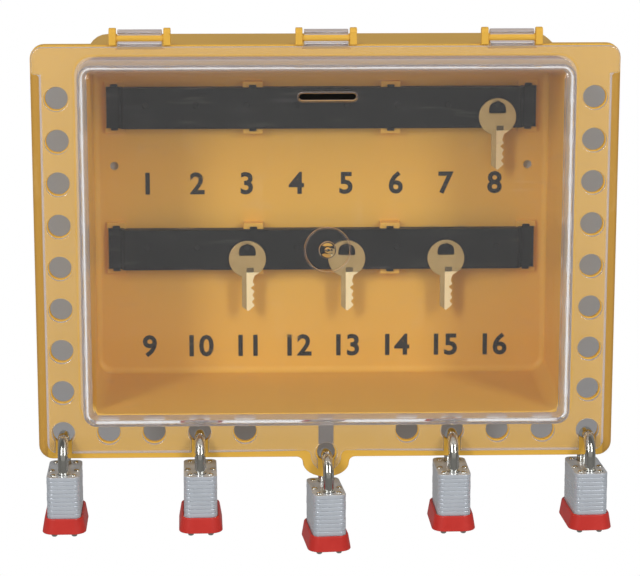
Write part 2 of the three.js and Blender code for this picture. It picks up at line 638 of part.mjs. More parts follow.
// A key drawn about the peg that it hangs on: round bow with an arched eye, and a cut blade.
function key(name, pegIndex, railZ) {
  const eyeTop = PEG_RADIUS + TOUCH_GAP;
  const bowTop = eyeTop + KEY_BOW_ROOF;
  const bowZ = bowTop - KEY_BOW_RADIUS;
  const tipZ = bowTop - KEY_LENGTH;
  const neckZ = bowTop - KEY_NECK_DROP;
  const left = KEY_BLADE_OFFSET - KEY_BLADE_WIDTH / 2;
  const right = KEY_BLADE_OFFSET + KEY_BLADE_WIDTH / 2;
  const bladeLength = neckZ - tipZ;
  const point = KEY_BLADE_WIDTH / 3;
  const pitch = bladeLength / (2 * KEY_CUT_SHARES.length + 2);

  const bow = rod(KEY_BOW_RADIUS, KEY_THICKNESS, 'Y', [0, 0, bowZ], RING_SIDES);
  const blade = new THREE.Shape();
  blade.moveTo(left, bowZ);
  blade.lineTo(left, tipZ + point);
  blade.lineTo(KEY_BLADE_OFFSET, tipZ);
  blade.lineTo(right - KEY_CUT_DEPTH / 2, tipZ + point);
  for (const share of [...KEY_CUT_SHARES].reverse()) {
    const z = neckZ - share * bladeLength;
    blade.lineTo(right, z - pitch);
    blade.lineTo(right - KEY_CUT_DEPTH, z);
  }
  blade.lineTo(right, neckZ);
  blade.lineTo(right, bowZ);
  const eyeHalf = KEY_EYE_WIDTH / 2;
  const eye = new THREE.Shape();
  eye.moveTo(-eyeHalf, eyeTop - KEY_EYE_HEIGHT);
  eye.lineTo(eyeHalf, eyeTop - KEY_EYE_HEIGHT);
  eye.absellipse(0, eyeTop - KEY_EYE_HEIGHT, eyeHalf, KEY_EYE_HEIGHT, 0, Math.PI);

  const half = KEY_THICKNESS / 2;
  const body = bow
    .add(slab(blade, half, KEY_THICKNESS))
    .subtract(slab(eye, half + OVERRUN, KEY_THICKNESS + 2 * OVERRUN, LOBE_SEGMENTS))
    .subtract(box(
      left + KEY_GROOVE_WIDTH / 2, left + 1.5 * KEY_GROOVE_WIDTH,
      -half + KEY_GROOVE_DEPTH, -half - OVERRUN, tipZ - OVERRUN, neckZ,
    ));
  const mesh = piece(name, body, KEY_METAL);
  const reach = KEY_STANDOFF + half;
  mesh.position.set(
    PEG_XS[pegIndex], RAIL_FRONT_Y - reach, railZ + PEG_ABOVE_CENTRE + reach * Math.tan(PEG_TILT),
  );
  return mesh;
}

// Where each padlock hangs, from left to right, and how many degrees it is turned about Z.
const rowLock = (name, x, yaw) => (
  { name, x, yaw, holeZ: ROW_Z, holeRadius: HOLE_RADIUS, rimZ: COVER_RIM_Z }
);
const LOCKS = [
  rowLock('padlock_1', -COLUMN_X, 1),
  rowLock('padlock_2', -ROW_XS[1], 1.5),
  {
    name: 'padlock_3', x: 0, yaw: 6,
    holeZ: LOBE_HOLE_Z, holeRadius: LOBE_HOLE_RADIUS, rimZ: COVER_LOBE_RIM_Z,
  },
  rowLock('padlock_4', ROW_XS[1], 1.5),
  rowLock('padlock_5', COLUMN_X, 3.5),
];

// How far the bar's middle stands above the hole's lower edge when its bend straddles the two sheets.
function seatHeight() {
  const insideBend = SHACKLE_BEND - SHACKLE_RADIUS;
  return SHACKLE_BEND - Math.sqrt(insideBend ** 2 - HALF_STACK ** 2) + TOUCH_GAP;
}

// The middle line of a shackle in its own plane: up the toe, over the bend and down the heel. Each leg
// is one step.
class ShacklePath extends THREE.Curve {
  getPoint(t) {
    const step = t * SHACKLE_STEPS;
    if (step < 1) return this.at(-SHACKLE_BEND, CASE_TOP - TOE_DEPTH, step);
    if (step > SHACKLE_STEPS - 1) return this.at(SHACKLE_BEND, CASE_TOP - HEEL_DEPTH, SHACKLE_STEPS - step);
    const angle = Math.PI * (step - 1) / BEND_STEPS;
    return new THREE.Vector3(0, -SHACKLE_BEND * Math.cos(angle), SHACKLE_BEND * (Math.sin(angle) - 1));
  }

  at(y, endZ, share) {
    return new THREE.Vector3(0, y, THREE.MathUtils.lerp(endZ, -SHACKLE_BEND, share));
  }

  getPointAt(t) {
    return this.getPoint(t);
  }

  getTangentAt(t) {
    return this.getTangent(t);
  }
}

function shackle(name) {
  const section = new THREE.Shape(Array.from({ length: SHACKLE_SIDES }, (_, i) => {
    const angle = 2 * Math.PI * i / SHACKLE_SIDES;
    return new THREE.Vector2(SHACKLE_RADIUS * Math.cos(angle), SHACKLE_RADIUS * Math.sin(angle));
  }));
  const geometry = new THREE.ExtrudeGeometry(section, {
    steps: SHACKLE_STEPS, extrudePath: new ShacklePath(), bevelEnabled: false,
  });
  return piece(name, solid(geometry), CHROME);
}

const caseOutline = (grow, corner) => roundedRectangle(
  -CASE_WIDTH / 2 - grow, -CASE_LENGTH / 2 - grow, CASE_WIDTH / 2 + grow, CASE_LENGTH / 2 + grow, corner,
);

// One steel plate of the stack, with its edges turned in above and below.
function plate(topZ, height) {
  const geometry = new THREE.ExtrudeGeometry(caseOutline(0, CASE_CORNER), {
    depth: height - 2 * PLATE_EDGE,
    bevelEnabled: true,
    bevelThickness: PLATE_EDGE,
    bevelSize: PLATE_EDGE,
    bevelOffset: -PLATE_EDGE,
    bevelSegments: 1,
    curveSegments: CASE_CORNER_SEGMENTS,
  });
  return solid(geometry.translate(0, 0, topZ - height + PLATE_EDGE));
}

// The stack of plates with its rivets, and the holes in it for the shackle and the key plug.
function plates(name) {
  const stack = Array.from({ length: PLATE_COUNT + 1 }, (_, i) => plate(
    CASE_TOP - i * PLATE_PITCH, i < PLATE_COUNT ? PLATE_PITCH + PLATE_LAP : BUMPER_HEIGHT,
  ));
  const rivets = ends(RIVET_X).flatMap((x) => ends(RIVET_Y).map((y) => (
    rod(RIVET_HEAD_RADIUS, 2 * RIVET_HEAD_RISE, 'Z', [x, y, CASE_TOP], PEG_SIDES)
  )));
  const legHole = (y, depth) => rod(
    SHACKLE_RADIUS + LEG_CLEARANCE, depth + TOUCH_GAP + OVERRUN, 'Z',
    [0, y, CASE_TOP + (OVERRUN - depth - TOUCH_GAP) / 2], BORE_SIDES,
  );
  const plugBore = rod(
    PLUG_RADIUS + TOUCH_GAP, PLUG_LENGTH + TOUCH_GAP + OVERRUN, 'Z',
    [0, 0, CASE_BOTTOM + (PLUG_LENGTH + TOUCH_GAP - OVERRUN) / 2], BORE_SIDES,
  );
  return piece(name, minus(union([...stack, ...rivets]), [
    legHole(-SHACKLE_BEND, TOE_DEPTH), legHole(SHACKLE_BEND, HEEL_DEPTH), plugBore,
  ]), PLATE_STEEL);
}

// The bumper: a band round the lower plates that widens towards its bottom edge.
function bumper(name) {
  const outer = new THREE.ExtrudeGeometry(caseOutline(TOUCH_GAP + BUMPER_WALL, BUMPER_CORNER), {
    depth: BUMPER_HEIGHT, bevelEnabled: false, curveSegments: CASE_CORNER_SEGMENTS,
  }).translate(0, 0, CASE_BOTTOM);
  const points = outer.attributes.position;
  for (let i = 0; i < points.count; i += 1) {
    const grow = BUMPER_FLARE * (BUMPER_TOP - points.getZ(i)) / BUMPER_HEIGHT;
    points.setX(i, points.getX(i) + Math.sign(points.getX(i)) * grow);
    points.setY(i, points.getY(i) + Math.sign(points.getY(i)) * grow);
  }
  return piece(name, solid(outer).subtract(prism(
    caseOutline(TOUCH_GAP, CASE_CORNER + TOUCH_GAP), BUMPER_TOP + OVERRUN, BUMPER_HEIGHT + 2 * OVERRUN,
    CASE_CORNER_SEGMENTS,
  )), RED);
}

// The key cylinder's plug in the bottom of the case, with its keyway.
function keyPlug(name) {
  const middle = CASE_BOTTOM + PLUG_LENGTH / 2;
  const plug = rod(PLUG_RADIUS, PLUG_LENGTH, 'Z', [0, 0, middle], BORE_SIDES);
  return piece(name, plug.subtract(box(
    -KEYWAY_WIDTH / 2, KEYWAY_WIDTH / 2, KEYWAY_HEIGHT / 2, -KEYWAY_HEIGHT / 2,
    CASE_BOTTOM - OVERRUN, CASE_BOTTOM + KEYWAY_DEPTH,
  )), BRASS);
}

function padlock({ name, x, yaw, holeZ, holeRadius }) {
  const lock = new THREE.Group();
  lock.add(
    shackle(`${name}_shackle`), plates(`${name}_plates`), bumper(`${name}_bumper`), keyPlug(`${name}_plug`),
  );
  lock.position.set(x, STACK_MIDDLE_Y, holeZ - holeRadius + seatHeight());
  lock.rotation.z = THREE.MathUtils.degToRad(yaw);
  return lock;
}

const lockoutBox = new THREE.Group();
lockoutBox.add(
  shell(),
  cover(),
  rail('upper_key_rail', UPPER_RAIL_Z),
  rail('lower_key_rail', LOWER_RAIL_Z),
  key('key_1', 7, UPPER_RAIL_Z),
  key('key_2', 2, LOWER_RAIL_Z),
  key('key_3', 4, LOWER_RAIL_Z),
  key('key_4', 6, LOWER_RAIL_Z),
  ...LOCKS.map(padlock),
);

export default lockoutBox;
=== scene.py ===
"""Group lockout box for a wall: a yellow moulded shell, a clear cover on three hinge bars, two black key
rails with pegs, four keys and five laminated padlocks.

Shapes are drawn in millimetres, X to the right, -Y out of the wall and Z up. A finished piece is turned
into metres where the frame has it.
"""

import json
import math

import bmesh
import bpy
from mathutils import Matrix, Vector


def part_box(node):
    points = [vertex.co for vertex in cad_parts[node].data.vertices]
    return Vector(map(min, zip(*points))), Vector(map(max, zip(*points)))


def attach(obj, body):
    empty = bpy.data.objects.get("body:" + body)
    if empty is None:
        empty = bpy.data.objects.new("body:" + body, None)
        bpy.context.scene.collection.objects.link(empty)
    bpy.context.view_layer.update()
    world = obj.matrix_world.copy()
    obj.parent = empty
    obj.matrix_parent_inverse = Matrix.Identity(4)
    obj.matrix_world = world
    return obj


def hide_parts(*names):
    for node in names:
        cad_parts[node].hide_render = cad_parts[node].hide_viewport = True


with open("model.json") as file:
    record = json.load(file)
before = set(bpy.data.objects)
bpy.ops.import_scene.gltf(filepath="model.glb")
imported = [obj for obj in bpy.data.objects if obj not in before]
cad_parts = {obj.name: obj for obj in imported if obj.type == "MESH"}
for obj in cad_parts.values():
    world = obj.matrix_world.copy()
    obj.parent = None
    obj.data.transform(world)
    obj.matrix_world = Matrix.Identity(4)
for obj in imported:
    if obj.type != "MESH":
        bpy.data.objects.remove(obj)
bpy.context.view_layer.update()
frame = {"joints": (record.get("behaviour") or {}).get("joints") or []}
MM = 0.001
SCENE = bpy.context.scene


def corners(node):
    """Lowest and highest corner of a node of the frame, in millimetres."""
    low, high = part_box(node)
    return low / MM, high / MM


# Sizes of the shell that the frame's boxes don't give
FLANGE_CORNER = 9
FLANGE_THICKNESS = 3.5
FLANGE_HEIGHT = 276
SKIRT_DEPTH = 4.5
SKIRT_WALL = 2.5
SKIRT_SINK = 1
SIDE_BAND = 30
TOP_BAND = 5
BOTTOM_BAND = 28
BODY_DEPTH = 112
BODY_CORNER = 14
BODY_WALL = 3
BODY_ROUND = 4
MOUTH_ROUND = 1.2
EDGE_ROUND = 0.6
LIP_ROUND = 3.1
LIP_INSET = 3.4
SCREW_HOLE_RADIUS = 3
SCREW_INSET = 17
SCREW_BELOW_RAIL = 41.7

# Padlock holes
HOLE_RADIUS = 7.4
COVER_HOLE_RADIUS = 8.5
COLUMN_INSET = 16.7
COLUMN_TOP_INSET = 34.5
COLUMN_PITCH = 27.9
COLUMN_COUNT = 8
ROW_INSET = 18.6
ROW_FIRST_X = 53.9
ROW_COUNT = 4

# Lobe in the middle of the lower edge
LOBE_RADIUS = 15.5
LOBE_DROP = 14
LOBE_FILLET = 4
LOBE_HOLE_RADIUS = 6
LOBE_HOLE_RISE = 3.7
LOBE_SLOT_WIDTH = 10
LOBE_SLOT_BELOW_BODY = 2.5
LOBE_SKIRT_GAP = 20

# Hinges
HINGE_XS = (-120, 0, 120)
BAR_RADIUS = 2.5
BAR_RISE = 4.2
BAR_SINK = 1.5
LUG_SPAN = 30.5
LUG_THICKNESS = 4.6
LUG_RISE = 10.8
LUG_DEPTH = 7
LUG_ROUND = 3
LUG_TOE = 1.75
LUG_SINK = 2.4
HOOK_WIDTH = 28.5
HOOK_OUTER_RADIUS = 5.6
HOOK_CLEARANCE = 0.25
HOOK_MOUTH_HALF_ANGLE = math.radians(45)
HOOK_RELIEF = 0.9

# Cover
COVER_THICKNESS = 3.5
COVER_TOP_MARGIN = 1
COVER_SIDE_MARGIN = 6
COVER_BOTTOM_MARGIN = 4.6
COVER_STEP_DROP = 18.7
COVER_STEP_SLOPE = 1.5
COVER_CORNER = 7
COVER_LOBE_MARGIN = 5.5
COVER_EDGE_ROUND = 1
COVER_HOLE_ROUND = 0.45
LOBE_COVER_HOLE_RADIUS = 7.2
WINDOW_CORNER = 10
WINDOW_LEAST_CORNER = 1
WINDOW_DRAFT = 1.6
WINDOW_WALL = 3
WINDOW_ROUND = 7.5
RIM_LINE = 1.4
WINDOW_SIDE_MARGIN = 0.5
WINDOW_TOP_MARGIN = 4
WINDOW_RISE = 28
WINDOW_FOOT = 0.25
DROP_SLOT_WIDTH = 36.4
DROP_SLOT_HEIGHT = 4.4
DROP_SLOT_RIM = 1.1
DROP_SLOT_BELOW_TOP = 20.8
DIAL_RADIUS = 15.2
DIAL_RING_WALL = 1.2
DIAL_BUTTON_RADIUS = 5.7
DIAL_RISE = 0.7
BUTTON_SHARES = (
    (1, 0), (0.95, 1), (0.88, 1.15), (0.8, 1), (0.5, 0.3), (0.34, 0.25), (0.28, 0.9), (0.18, 1.2),
    (0.03, 1.3),
)
RELIEF_SLOT_WIDTH = 11

# Rails and keys
RAIL_SHEET = 2
RAIL_FOOT = 10.2
RAIL_RAISE = 6
RAIL_BEND = 2.4
RAIL_ROUND = 0.5
RAIL_FOOT_TURN = math.radians(200)
INNER_BEND_LEAN = 0.4
INNER_BEND_REACH = 1.4
INNER_BEND_CUT = 0.6
PAD_RISE = 2.6
PAD_WIDTH = 13.7
PAD_MARGIN = 4
TAB_WIDTH = 5
TAB_RISE = 1.8
END_PAD_INSET = 5.4
MID_PAD_X = 47.6
PEG_COUNT = 8
PEG_PITCH = 34.6
PEG_RADIUS = 1.6
PEG_HEAD_RADIUS = 2.3
PEG_LENGTH = 7.5
PEG_HEAD_START = 0.8
PEG_HEAD_BACK = 0.5
PEG_HEAD_SIDE = 0.1
PEG_HEAD_FRONT = 0.6
PEG_HEAD_CHAMFER = 0.5
PEG_ABOVE_CENTRE = 1.8
PEG_TILT = math.radians(9)
KEY_BOW_RADIUS = 12.9
KEY_BOW_ROOF = 2.7
KEY_EYE_WIDTH = 11.8
KEY_EYE_HEIGHT = 7.8
KEY_EYE_SHOULDER = 0.72
KEY_EYE_SILL = 0.8
KEY_EYE_CORNER = 0.7
KEY_BLADE_WIDTH = 8.8
KEY_BLADE_OFFSET = 0.4
KEY_NECK_DROP = 25
KEY_CUT_DEPTHS = (1.1, 2.4, 1.3, 1.7)
KEY_CUT_SHARES = (0.16, 0.34, 0.55, 0.74)
KEY_CUT_HALF = 0.3
KEY_TIP_SHOULDER = 0.6
KEY_TIP_INSET = 0.5
KEY_ROUND = 0.25
MILL_HALF = 5
MILL_TILT = 9
MILL_SHARE = 0.36
MILL_START = 2.8
MILL_DEPTH = 1.05
RUN_OUT_LENGTH = 3.2
RUN_OUT_OVERLAP = 0.3
RUN_OUT_LEFT = 0.2
RUN_OUT_RIGHT = 0.4

# Numbers under the pegs
NUMBER_SIZE = 21
NUMBER_WEIGHT = 0.55
NUMBER_SKIN = 0.12
NUMBER_DROPS = (55, 72)

# Padlocks, drawn about the middle of the shackle's crown
SHACKLE_RADIUS = 3.6
SHACKLE_BEND = 13
SHACKLE_REACH = 19
SHACKLE_CHAMFER = 0.7
TOE_DEPTH = 8
HEEL_DEPTH = 20
LEG_CLEARANCE = 0.5
TOE_SHARES = (0.0, 0.15, 0.5, 1.0)
HEEL_SHARES = (1.0, 0.5, 0.1, 0.0)
CASE_WIDTH = 22
CASE_LENGTH = 43
CASE_CORNER = 4.5
UPPER_PLATES = 10
TOE_PLATES = 3
HEEL_PLATES = 5
LOWER_PLATES = 4
PLATE_PITCH = 2.8
PLATE_ROUND = 0.4
PLATE_DRIFT = 0.08
PLATE_GAP = 0.04
BUMPER_HEIGHT = 10.5
BUMPER_WALL = 1.5
BUMPER_GAP = 0.3
BUMPER_FLARE = 0.6
BUMPER_SPREAD = 1.2
BUMPER_CORNER = 6
BUMPER_ROUND = 0.7
RIVET_PAIRS = ((6.6, -16), (8.2, -4), (6.6, 16))
RIVET_RADIUS = 2
RIVET_RISE = 1.1
RIVET_FOOT = 1.9
RIVET_DROP = 3.2
RIVET_FOOT_INSET = 0.6
RIVET_FOOT_SLOPE = 0.5
RIVET_SHANK_SINK = 0.6
RIVET_HEAD_SINK = 0.4
RIVET_DOME_TURNS = (0, 0.5, 0.95, 1.3)
PLUG_RADIUS = 5.6
PLUG_CLEARANCE = 0.3
PLUG_LENGTH = 12
PLUG_CHAMFER = 0.5
KEYWAY_WIDTH = 1.4
KEYWAY_HEIGHT = 7
KEYWAY_DEPTH = 6

# Wards of the keyway: how far a side steps to the right, and from where to where
RIGHT_WARD = (0.5, -0.8, 1.4)
LEFT_WARD = (0.4, -1.2, 0.4)

# The padlocks, each with its turn about Z in degrees
LOCKS = {
    "padlock_1": 1.0, "padlock_2": 1.5, "padlock_3": 6.0, "padlock_4": 1.5, "padlock_5": 3.5,
}

# Places
FLANGE_BACK_Y = -BODY_DEPTH
FLANGE_FRONT_Y = FLANGE_BACK_Y - FLANGE_THICKNESS
FLANGE_HALF = corners("shell")[1].x
FLANGE_TOP = FLANGE_HEIGHT / 2
FLANGE_BOTTOM = -FLANGE_HEIGHT / 2
BODY_HALF = FLANGE_HALF - SIDE_BAND
BODY_TOP = FLANGE_TOP - TOP_BAND
BODY_BOTTOM = FLANGE_BOTTOM + BOTTOM_BAND
COLUMN_X = FLANGE_HALF - COLUMN_INSET
ROW_Z = FLANGE_BOTTOM + ROW_INSET
ROW_PITCH = (COLUMN_X - ROW_FIRST_X) / ROW_COUNT
LOBE_HOLE_Z = FLANGE_BOTTOM + LOBE_HOLE_RISE
HINGE = Vector(frame["joints"][0]["pos_m"]) / MM
COVER_BACK_Y = FLANGE_FRONT_Y - 0.3
COVER_FRONT_Y = COVER_BACK_Y - COVER_THICKNESS
COVER_RIM_Z = FLANGE_BOTTOM + COVER_BOTTOM_MARGIN
WINDOW_HALF = BODY_HALF - WINDOW_SIDE_MARGIN
WINDOW_TOP = BODY_TOP - WINDOW_TOP_MARGIN
WINDOW_BOTTOM = BODY_BOTTOM - WINDOW_SIDE_MARGIN
WINDOW_MIDDLE_Z = (WINDOW_TOP + WINDOW_BOTTOM) / 2
WINDOW_FRONT_Y = COVER_FRONT_Y - WINDOW_RISE
CASE_TOP = -(SHACKLE_RADIUS + SHACKLE_REACH)
CASE_BOTTOM = CASE_TOP - UPPER_PLATES * PLATE_PITCH - BUMPER_HEIGHT

# Into how many straight steps a curve is cut
CORNER_STEPS = 6
HOLE_STEPS = 32
ROUND_STEPS = 3
BODY_ROUND_STEPS = 4
LIP_STEPS = 5
WINDOW_STEPS = 6
MARK_STEPS = 56
SMALL_HOLE_STEPS = 20
BAR_STEPS = 28
HOOK_STEPS = 30
SHACKLE_BEND_STEPS = 24
KEY_BOW_STEPS = 44
SMALL_STEPS = 16
PLUG_STEPS = 36

# How far small edges are rounded over, and how far a cutting block reaches past what it cuts
SMALL_EDGE = 0.3
BLOCK_EDGE = 0.5
TAB_EDGE = 0.4
GAP_EDGE = 0.1
MILL_EDGE = 0.05
REACH = 2

# The least length that the sum of two neighbouring normals may have when an outline grows
SHARPEST = 0.2

# How near two points of an outline may lie, and when points of a finished mesh are merged
NEAREST = 0.3
MERGE_DISTANCE = 1e-5

# When a face counts as looking along an axis, and from which fold its border is sharpened
ALONG_AXIS = 0.99999
LEAST_FOLD = math.radians(4)

# Widths of the steps in a finish, in metres
CRISP = 0.0006
SOFT = 0.002
LOBE_SIDE = 0.02


# Shader expressions

class Value:
    """A socket of a node tree that Python's operators work on."""

    def __init__(self, finish, socket):
        self.finish = finish
        self.socket = socket

    def maths(self, operation, *others, swap=False):
        values = [self, *others]
        if swap:
            values.reverse()
        return self.finish.node("Math", {"operation": operation}, dict(enumerate(values)))

    def __add__(self, other):
        return self.maths("ADD", other)

    def __sub__(self, other):
        return self.maths("SUBTRACT", other)

    def __rsub__(self, other):
        return self.maths("SUBTRACT", other, swap=True)

    def __mul__(self, other):
        return self.maths("MULTIPLY", other)

    __radd__ = __add__
    __rmul__ = __mul__

    def above(self, edge, width):
        """0 below the edge, 1 above it, and a soft step of that width between."""
        return self.finish.node("MapRange", {"clamp": True}, {
            "Value": self, "From Min": edge - width / 2, "From Max": edge + width / 2,
        })


class Finish:
    """The nodes of a material or of the world, with one method for every kind of node."""

    def __init__(self, name, owner=None):
        self.owner = owner or bpy.data.materials.new(name)
        self.owner.use_nodes = True
        self.tree = self.owner.node_tree
        self.tree.nodes.clear()

    @property
    def place(self):
        """Where on its object a point is, in metres."""
        return self.node("TexCoord", {}, {}, "Object")

    def node(self, kind, settings, sockets, output=0):
        made = self.tree.nodes.new("ShaderNode" + kind)
        for name, value in settings.items():
            setattr(made, name, value)
        for key, value in sockets.items():
            socket = made.inputs[key]
            if isinstance(value, Value):
                self.tree.links.new(value.socket, socket)
            elif socket.type == "RGBA":
                socket.default_value = (*value, 1.0)
            else:
                socket.default_value = value
        return Value(self, made.outputs[output]) if made.outputs else None

    def noise(self, scale, detail=3.0, roughness=0.55, stretch=None):
        place = self.place
        if stretch:
            place = self.node("Mapping", {}, {"Vector": place, "Scale": stretch})
        return self.node("TexNoise", {}, {
            "Vector": place, "Scale": scale, "Detail": detail, "Roughness": roughness,
        })

    def split(self, vector):
        parts = self.node("SeparateXYZ", {}, {"Vector": vector})
        return [Value(self, socket) for socket in parts.socket.node.outputs]

    def ray(self, kind):
        return self.node("LightPath", {}, {}, f"Is {kind} Ray")

    def mixed(self, share, first, second):
        return self.node("Mix", {"data_type": "RGBA"}, {0: share, 6: first, 7: second}, 2)

    def between(self, share, first, second):
        return self.node("MixShader", {}, {0: share, 1: first, 2: second})

    def bump(self, height, depth, strength=1.0):
        return self.node("Bump", {}, {"Height": height, "Distance": depth, "Strength": strength})

    def glow(self, color):
        return self.node("Emission", {}, {"Color": color, "Strength": 1.0})

    def surface(self, sockets):
        return self.node("BsdfPrincipled", {}, sockets)

    def close(self, shader, end="OutputMaterial"):
        self.node(end, {}, {"Surface": shader})
        return self.owner


def linear(red, green, blue):
    """A colour measured in sRGB, as the linear values that the shader takes."""
    def curve(level):
        share = level / 255
        return share / 12.92 if share <= 0.04045 else ((share + 0.055) / 1.055) ** 2.4
    return curve(red), curve(green), curve(blue)


def below_step(up, width):
    """1 below the step in the cover's two sides, and 0 above it."""
    return 1 - up.above((FLANGE_TOP - COVER_STEP_DROP) * MM, width)


def yellow_plastic():
    finish = Finish("yellow_moulded_plastic")
    cloud = finish.noise(9.0, 2.0)
    grain = finish.noise(1400.0, 2.0)
    scuff = finish.noise(60.0, 4.0, 0.7, (1.0, 1.0, 0.35)).above(0.63, 0.12)
    base = finish.mixed(cloud, linear(221, 170, 67), linear(231, 181, 77))
    across, deep, up = finish.split(finish.place)
    # Painted shade: the flange's side lips, outside the cover and below its step, get a darker yellow for
    # the shade they fall into as they face sideways.
    lip = across.maths("ABSOLUTE").above((FLANGE_HALF - COVER_SIDE_MARGIN) * MM, CRISP)
    base = finish.mixed(lip * below_step(up, SOFT) * 0.85, base, linear(184, 138, 64))
    return finish.close(finish.surface({
        "Base Color": finish.mixed(scuff * 0.12, base, linear(238, 204, 140)),
        "Roughness": cloud * 0.12 + scuff * 0.1 + 0.34,
        "IOR": 1.5,
        "Specular IOR Level": 0.2,
        "Normal": finish.bump(grain + cloud * 0.6, 0.00006, 0.5),
    }))


def window_distance(finish):
    """How far outside the raised window's outline a point of the cover is, in metres."""
    across, deep, up = finish.split(finish.place)
    half_height = (WINDOW_TOP - WINDOW_BOTTOM) / 2
    beside = across.maths("ABSOLUTE") - (WINDOW_HALF - WINDOW_CORNER) * MM
    above = (up - WINDOW_MIDDLE_Z * MM).maths("ABSOLUTE") - (half_height - WINDOW_CORNER) * MM
    beside, above = beside.maths("MAXIMUM", 0.0), above.maths("MAXIMUM", 0.0)
    return (beside * beside + above * above).maths("SQRT") - WINDOW_CORNER * MM


def rim_sheen_line(finish):
    """The painted highlight line along the cover's lower rim and its two sides."""
    across, deep, up = finish.split(finish.place)
    beside = across.maths("ABSOLUTE")
    low = 1 - up.above((COVER_RIM_Z + RIM_LINE) * MM, CRISP)
    low = low * up.above((COVER_RIM_Z - 0.6) * MM, CRISP) * beside.above(LOBE_SIDE, SOFT)
    side = beside.above((FLANGE_HALF - COVER_SIDE_MARGIN - RIM_LINE) * MM, CRISP)
    return low.maths("MAXIMUM", side * below_step(up, CRISP))


def clear_plastic():
    """Clear moulded plastic, with a pale sheen painted in where its walls and edges are looked at along
    their length.
    """
    finish = Finish("clear_moulded_plastic")
    normal = finish.node("TexCoord", {}, {}, "Normal")
    facing = finish.split(normal)[1].maths("ABSOLUTE")
    haze = finish.noise(14.0, 3.0)
    scratch = finish.noise(260.0, 2.0, 0.5, (0.12, 1.0, 1.0)).above(0.68, 0.04)
    edge = 1 - facing.above(0.78, 0.4)

    # Bands outwards from the window's outline: its foot, then the flat rim
    away = window_distance(finish)
    foot = away.above(-CRISP, 0.0008) * (1 - away.above(0.0016, 0.001))
    rim = away.above(0.003, 0.001)
    clear = finish.surface({
        "Base Color": linear(253, 253, 253),
        "Roughness": scratch * 0.06 + haze * 0.02 + 0.012,
        "IOR": 1.49,
        "Specular IOR Level": 0.3,
        "Transmission Weight": 1.0,
    })
    # Painted reflection and refraction: a pale diffuse sheet is mixed in along walls seen edge-on, along
    # the rim line and over the window's foot, where clear plastic only looks pale through the light it
    # bends and reflects; haze and scratches add a little of it as real wear.
    sheen_film = finish.surface({"Base Color": linear(196, 189, 192), "Roughness": 0.3})
    grazing = finish.node("LayerWeight", {}, {"Blend": 0.5}, "Facing").above(0.5, 0.6)
    grazing_sheen = grazing * (haze * 0.08 + 0.38) + rim * 0.3 + 0.1
    haze_and_sheen_share = edge * grazing_sheen + foot * 0.25 + rim_sheen_line(finish) * 0.4 + rim * 0.06 + scratch * 0.03
    passing = finish.node("BsdfTransparent", {}, {"Color": linear(250, 250, 250)})
    lets_light = finish.ray("Shadow").maths("MAXIMUM", finish.ray("Diffuse"))
    body = finish.between(haze_and_sheen_share, clear, sheen_film)
    return finish.close(finish.between(lets_light, body, passing))


def black_plastic():
    finish = Finish("black_rail_plastic")
    dust = finish.noise(38.0, 5.0, 0.7).above(0.58, 0.2)
    streak = finish.noise(120.0, 3.0, 0.6, (0.2, 1.0, 1.6)).above(0.64, 0.08)
    base = finish.mixed(dust * 0.5, linear(10, 10, 8), linear(26, 26, 23))
    return finish.close(finish.surface({
        "Base Color": finish.mixed(streak * 0.4, base, linear(78, 78, 73)),
        "Roughness": dust * 0.2 + 0.38,
        "Specular IOR Level": 0.06,
        "Normal": finish.bump(finish.noise(1200.0, 2.0), 0.00004, 0.5),
    }))


def mottled(name, cloud, dark, light, roughness, sockets=(), lines=None, bump=None):
    """A finish whose colour drifts between two, with a roughness that follows its lines or its cloud."""
    finish = Finish(name)
    pattern = finish.noise(*cloud)
    spread, least = roughness
    given = {
        "Base Color": finish.mixed(pattern, linear(*dark), linear(*light)),
        "Roughness": (finish.noise(*lines) if lines else pattern) * spread + least,
        **dict(sockets),
    }
    if bump:
        grain, depth, strength = bump
        given["Normal"] = finish.bump(finish.noise(*grain), depth, strength)
    return finish.close(finish.surface(given))


# Noise as scale, detail, roughness and stretch: lines along a blade, a milled flank and a rolled sheet
BLADE_LINES = (900, 3, 0.6, (1, 1, 0.06))
MILL_LINES = (1100, 2, 0.6, (1, 1, 0.05))
ROLLED_LINES = (700, 3, 0.6, (0.08, 0.08, 1))

YELLOW = yellow_plastic()
CLEAR = clear_plastic()
BLACK = black_plastic()
INK = mottled(
    "printed_ink", (90, 4), (22, 21, 20), (38, 37, 34), (0.2, 0.4), {"Specular IOR Level": 0.15})
KEY_METAL = mottled(
    "key_nickel_brass", (120, 4), (158, 134, 86), (190, 162, 110), (0.2, 0.26), {"Metallic": 0.9},
    BLADE_LINES, (BLADE_LINES, 0.00003, 0.5))
# Partly painted highlight: the milled flank is fresh-cut metal, brighter than the plated key, and is also
# given a near-white, barely metallic colour for the light its slanted face catches.
KEY_CUT = mottled(
    "key_milled_flank", MILL_LINES, (246, 226, 168), (254, 240, 200), (0.2, 0.35), {"Metallic": 0.12})
# Painted shade: the run-out at the top of the milled flank is the same brass made dark, for the shade in
# that pocket.
KEY_RUNOUT_SHADE = mottled(
    "key_run_out", MILL_LINES, (84, 70, 42), (112, 96, 60), (0.2, 0.35), {"Metallic": 0.12})
CHROME = mottled(
    "shackle_chrome", (150, 4), (196, 194, 184), (222, 220, 212), (0.12, 0.1), {"Metallic": 1})
STEEL = mottled(
    "padlock_plate_steel", (90, 4), (202, 208, 216), (222, 227, 234), (0.16, 0.26), {"Metallic": 0.5},
    ROLLED_LINES, (ROLLED_LINES, 0.00004, 0.6))
RED = mottled(
    "red_bumper_plastic", (70, 3), (186, 34, 26), (208, 52, 42), (0.15, 0.32),
    bump=((1500, 2), 0.00004, 0.5))
BRASS = mottled(
    "plug_brass", (800, 3), (170, 138, 72), (204, 170, 98), (0.2, 0.28), {"Metallic": 1})


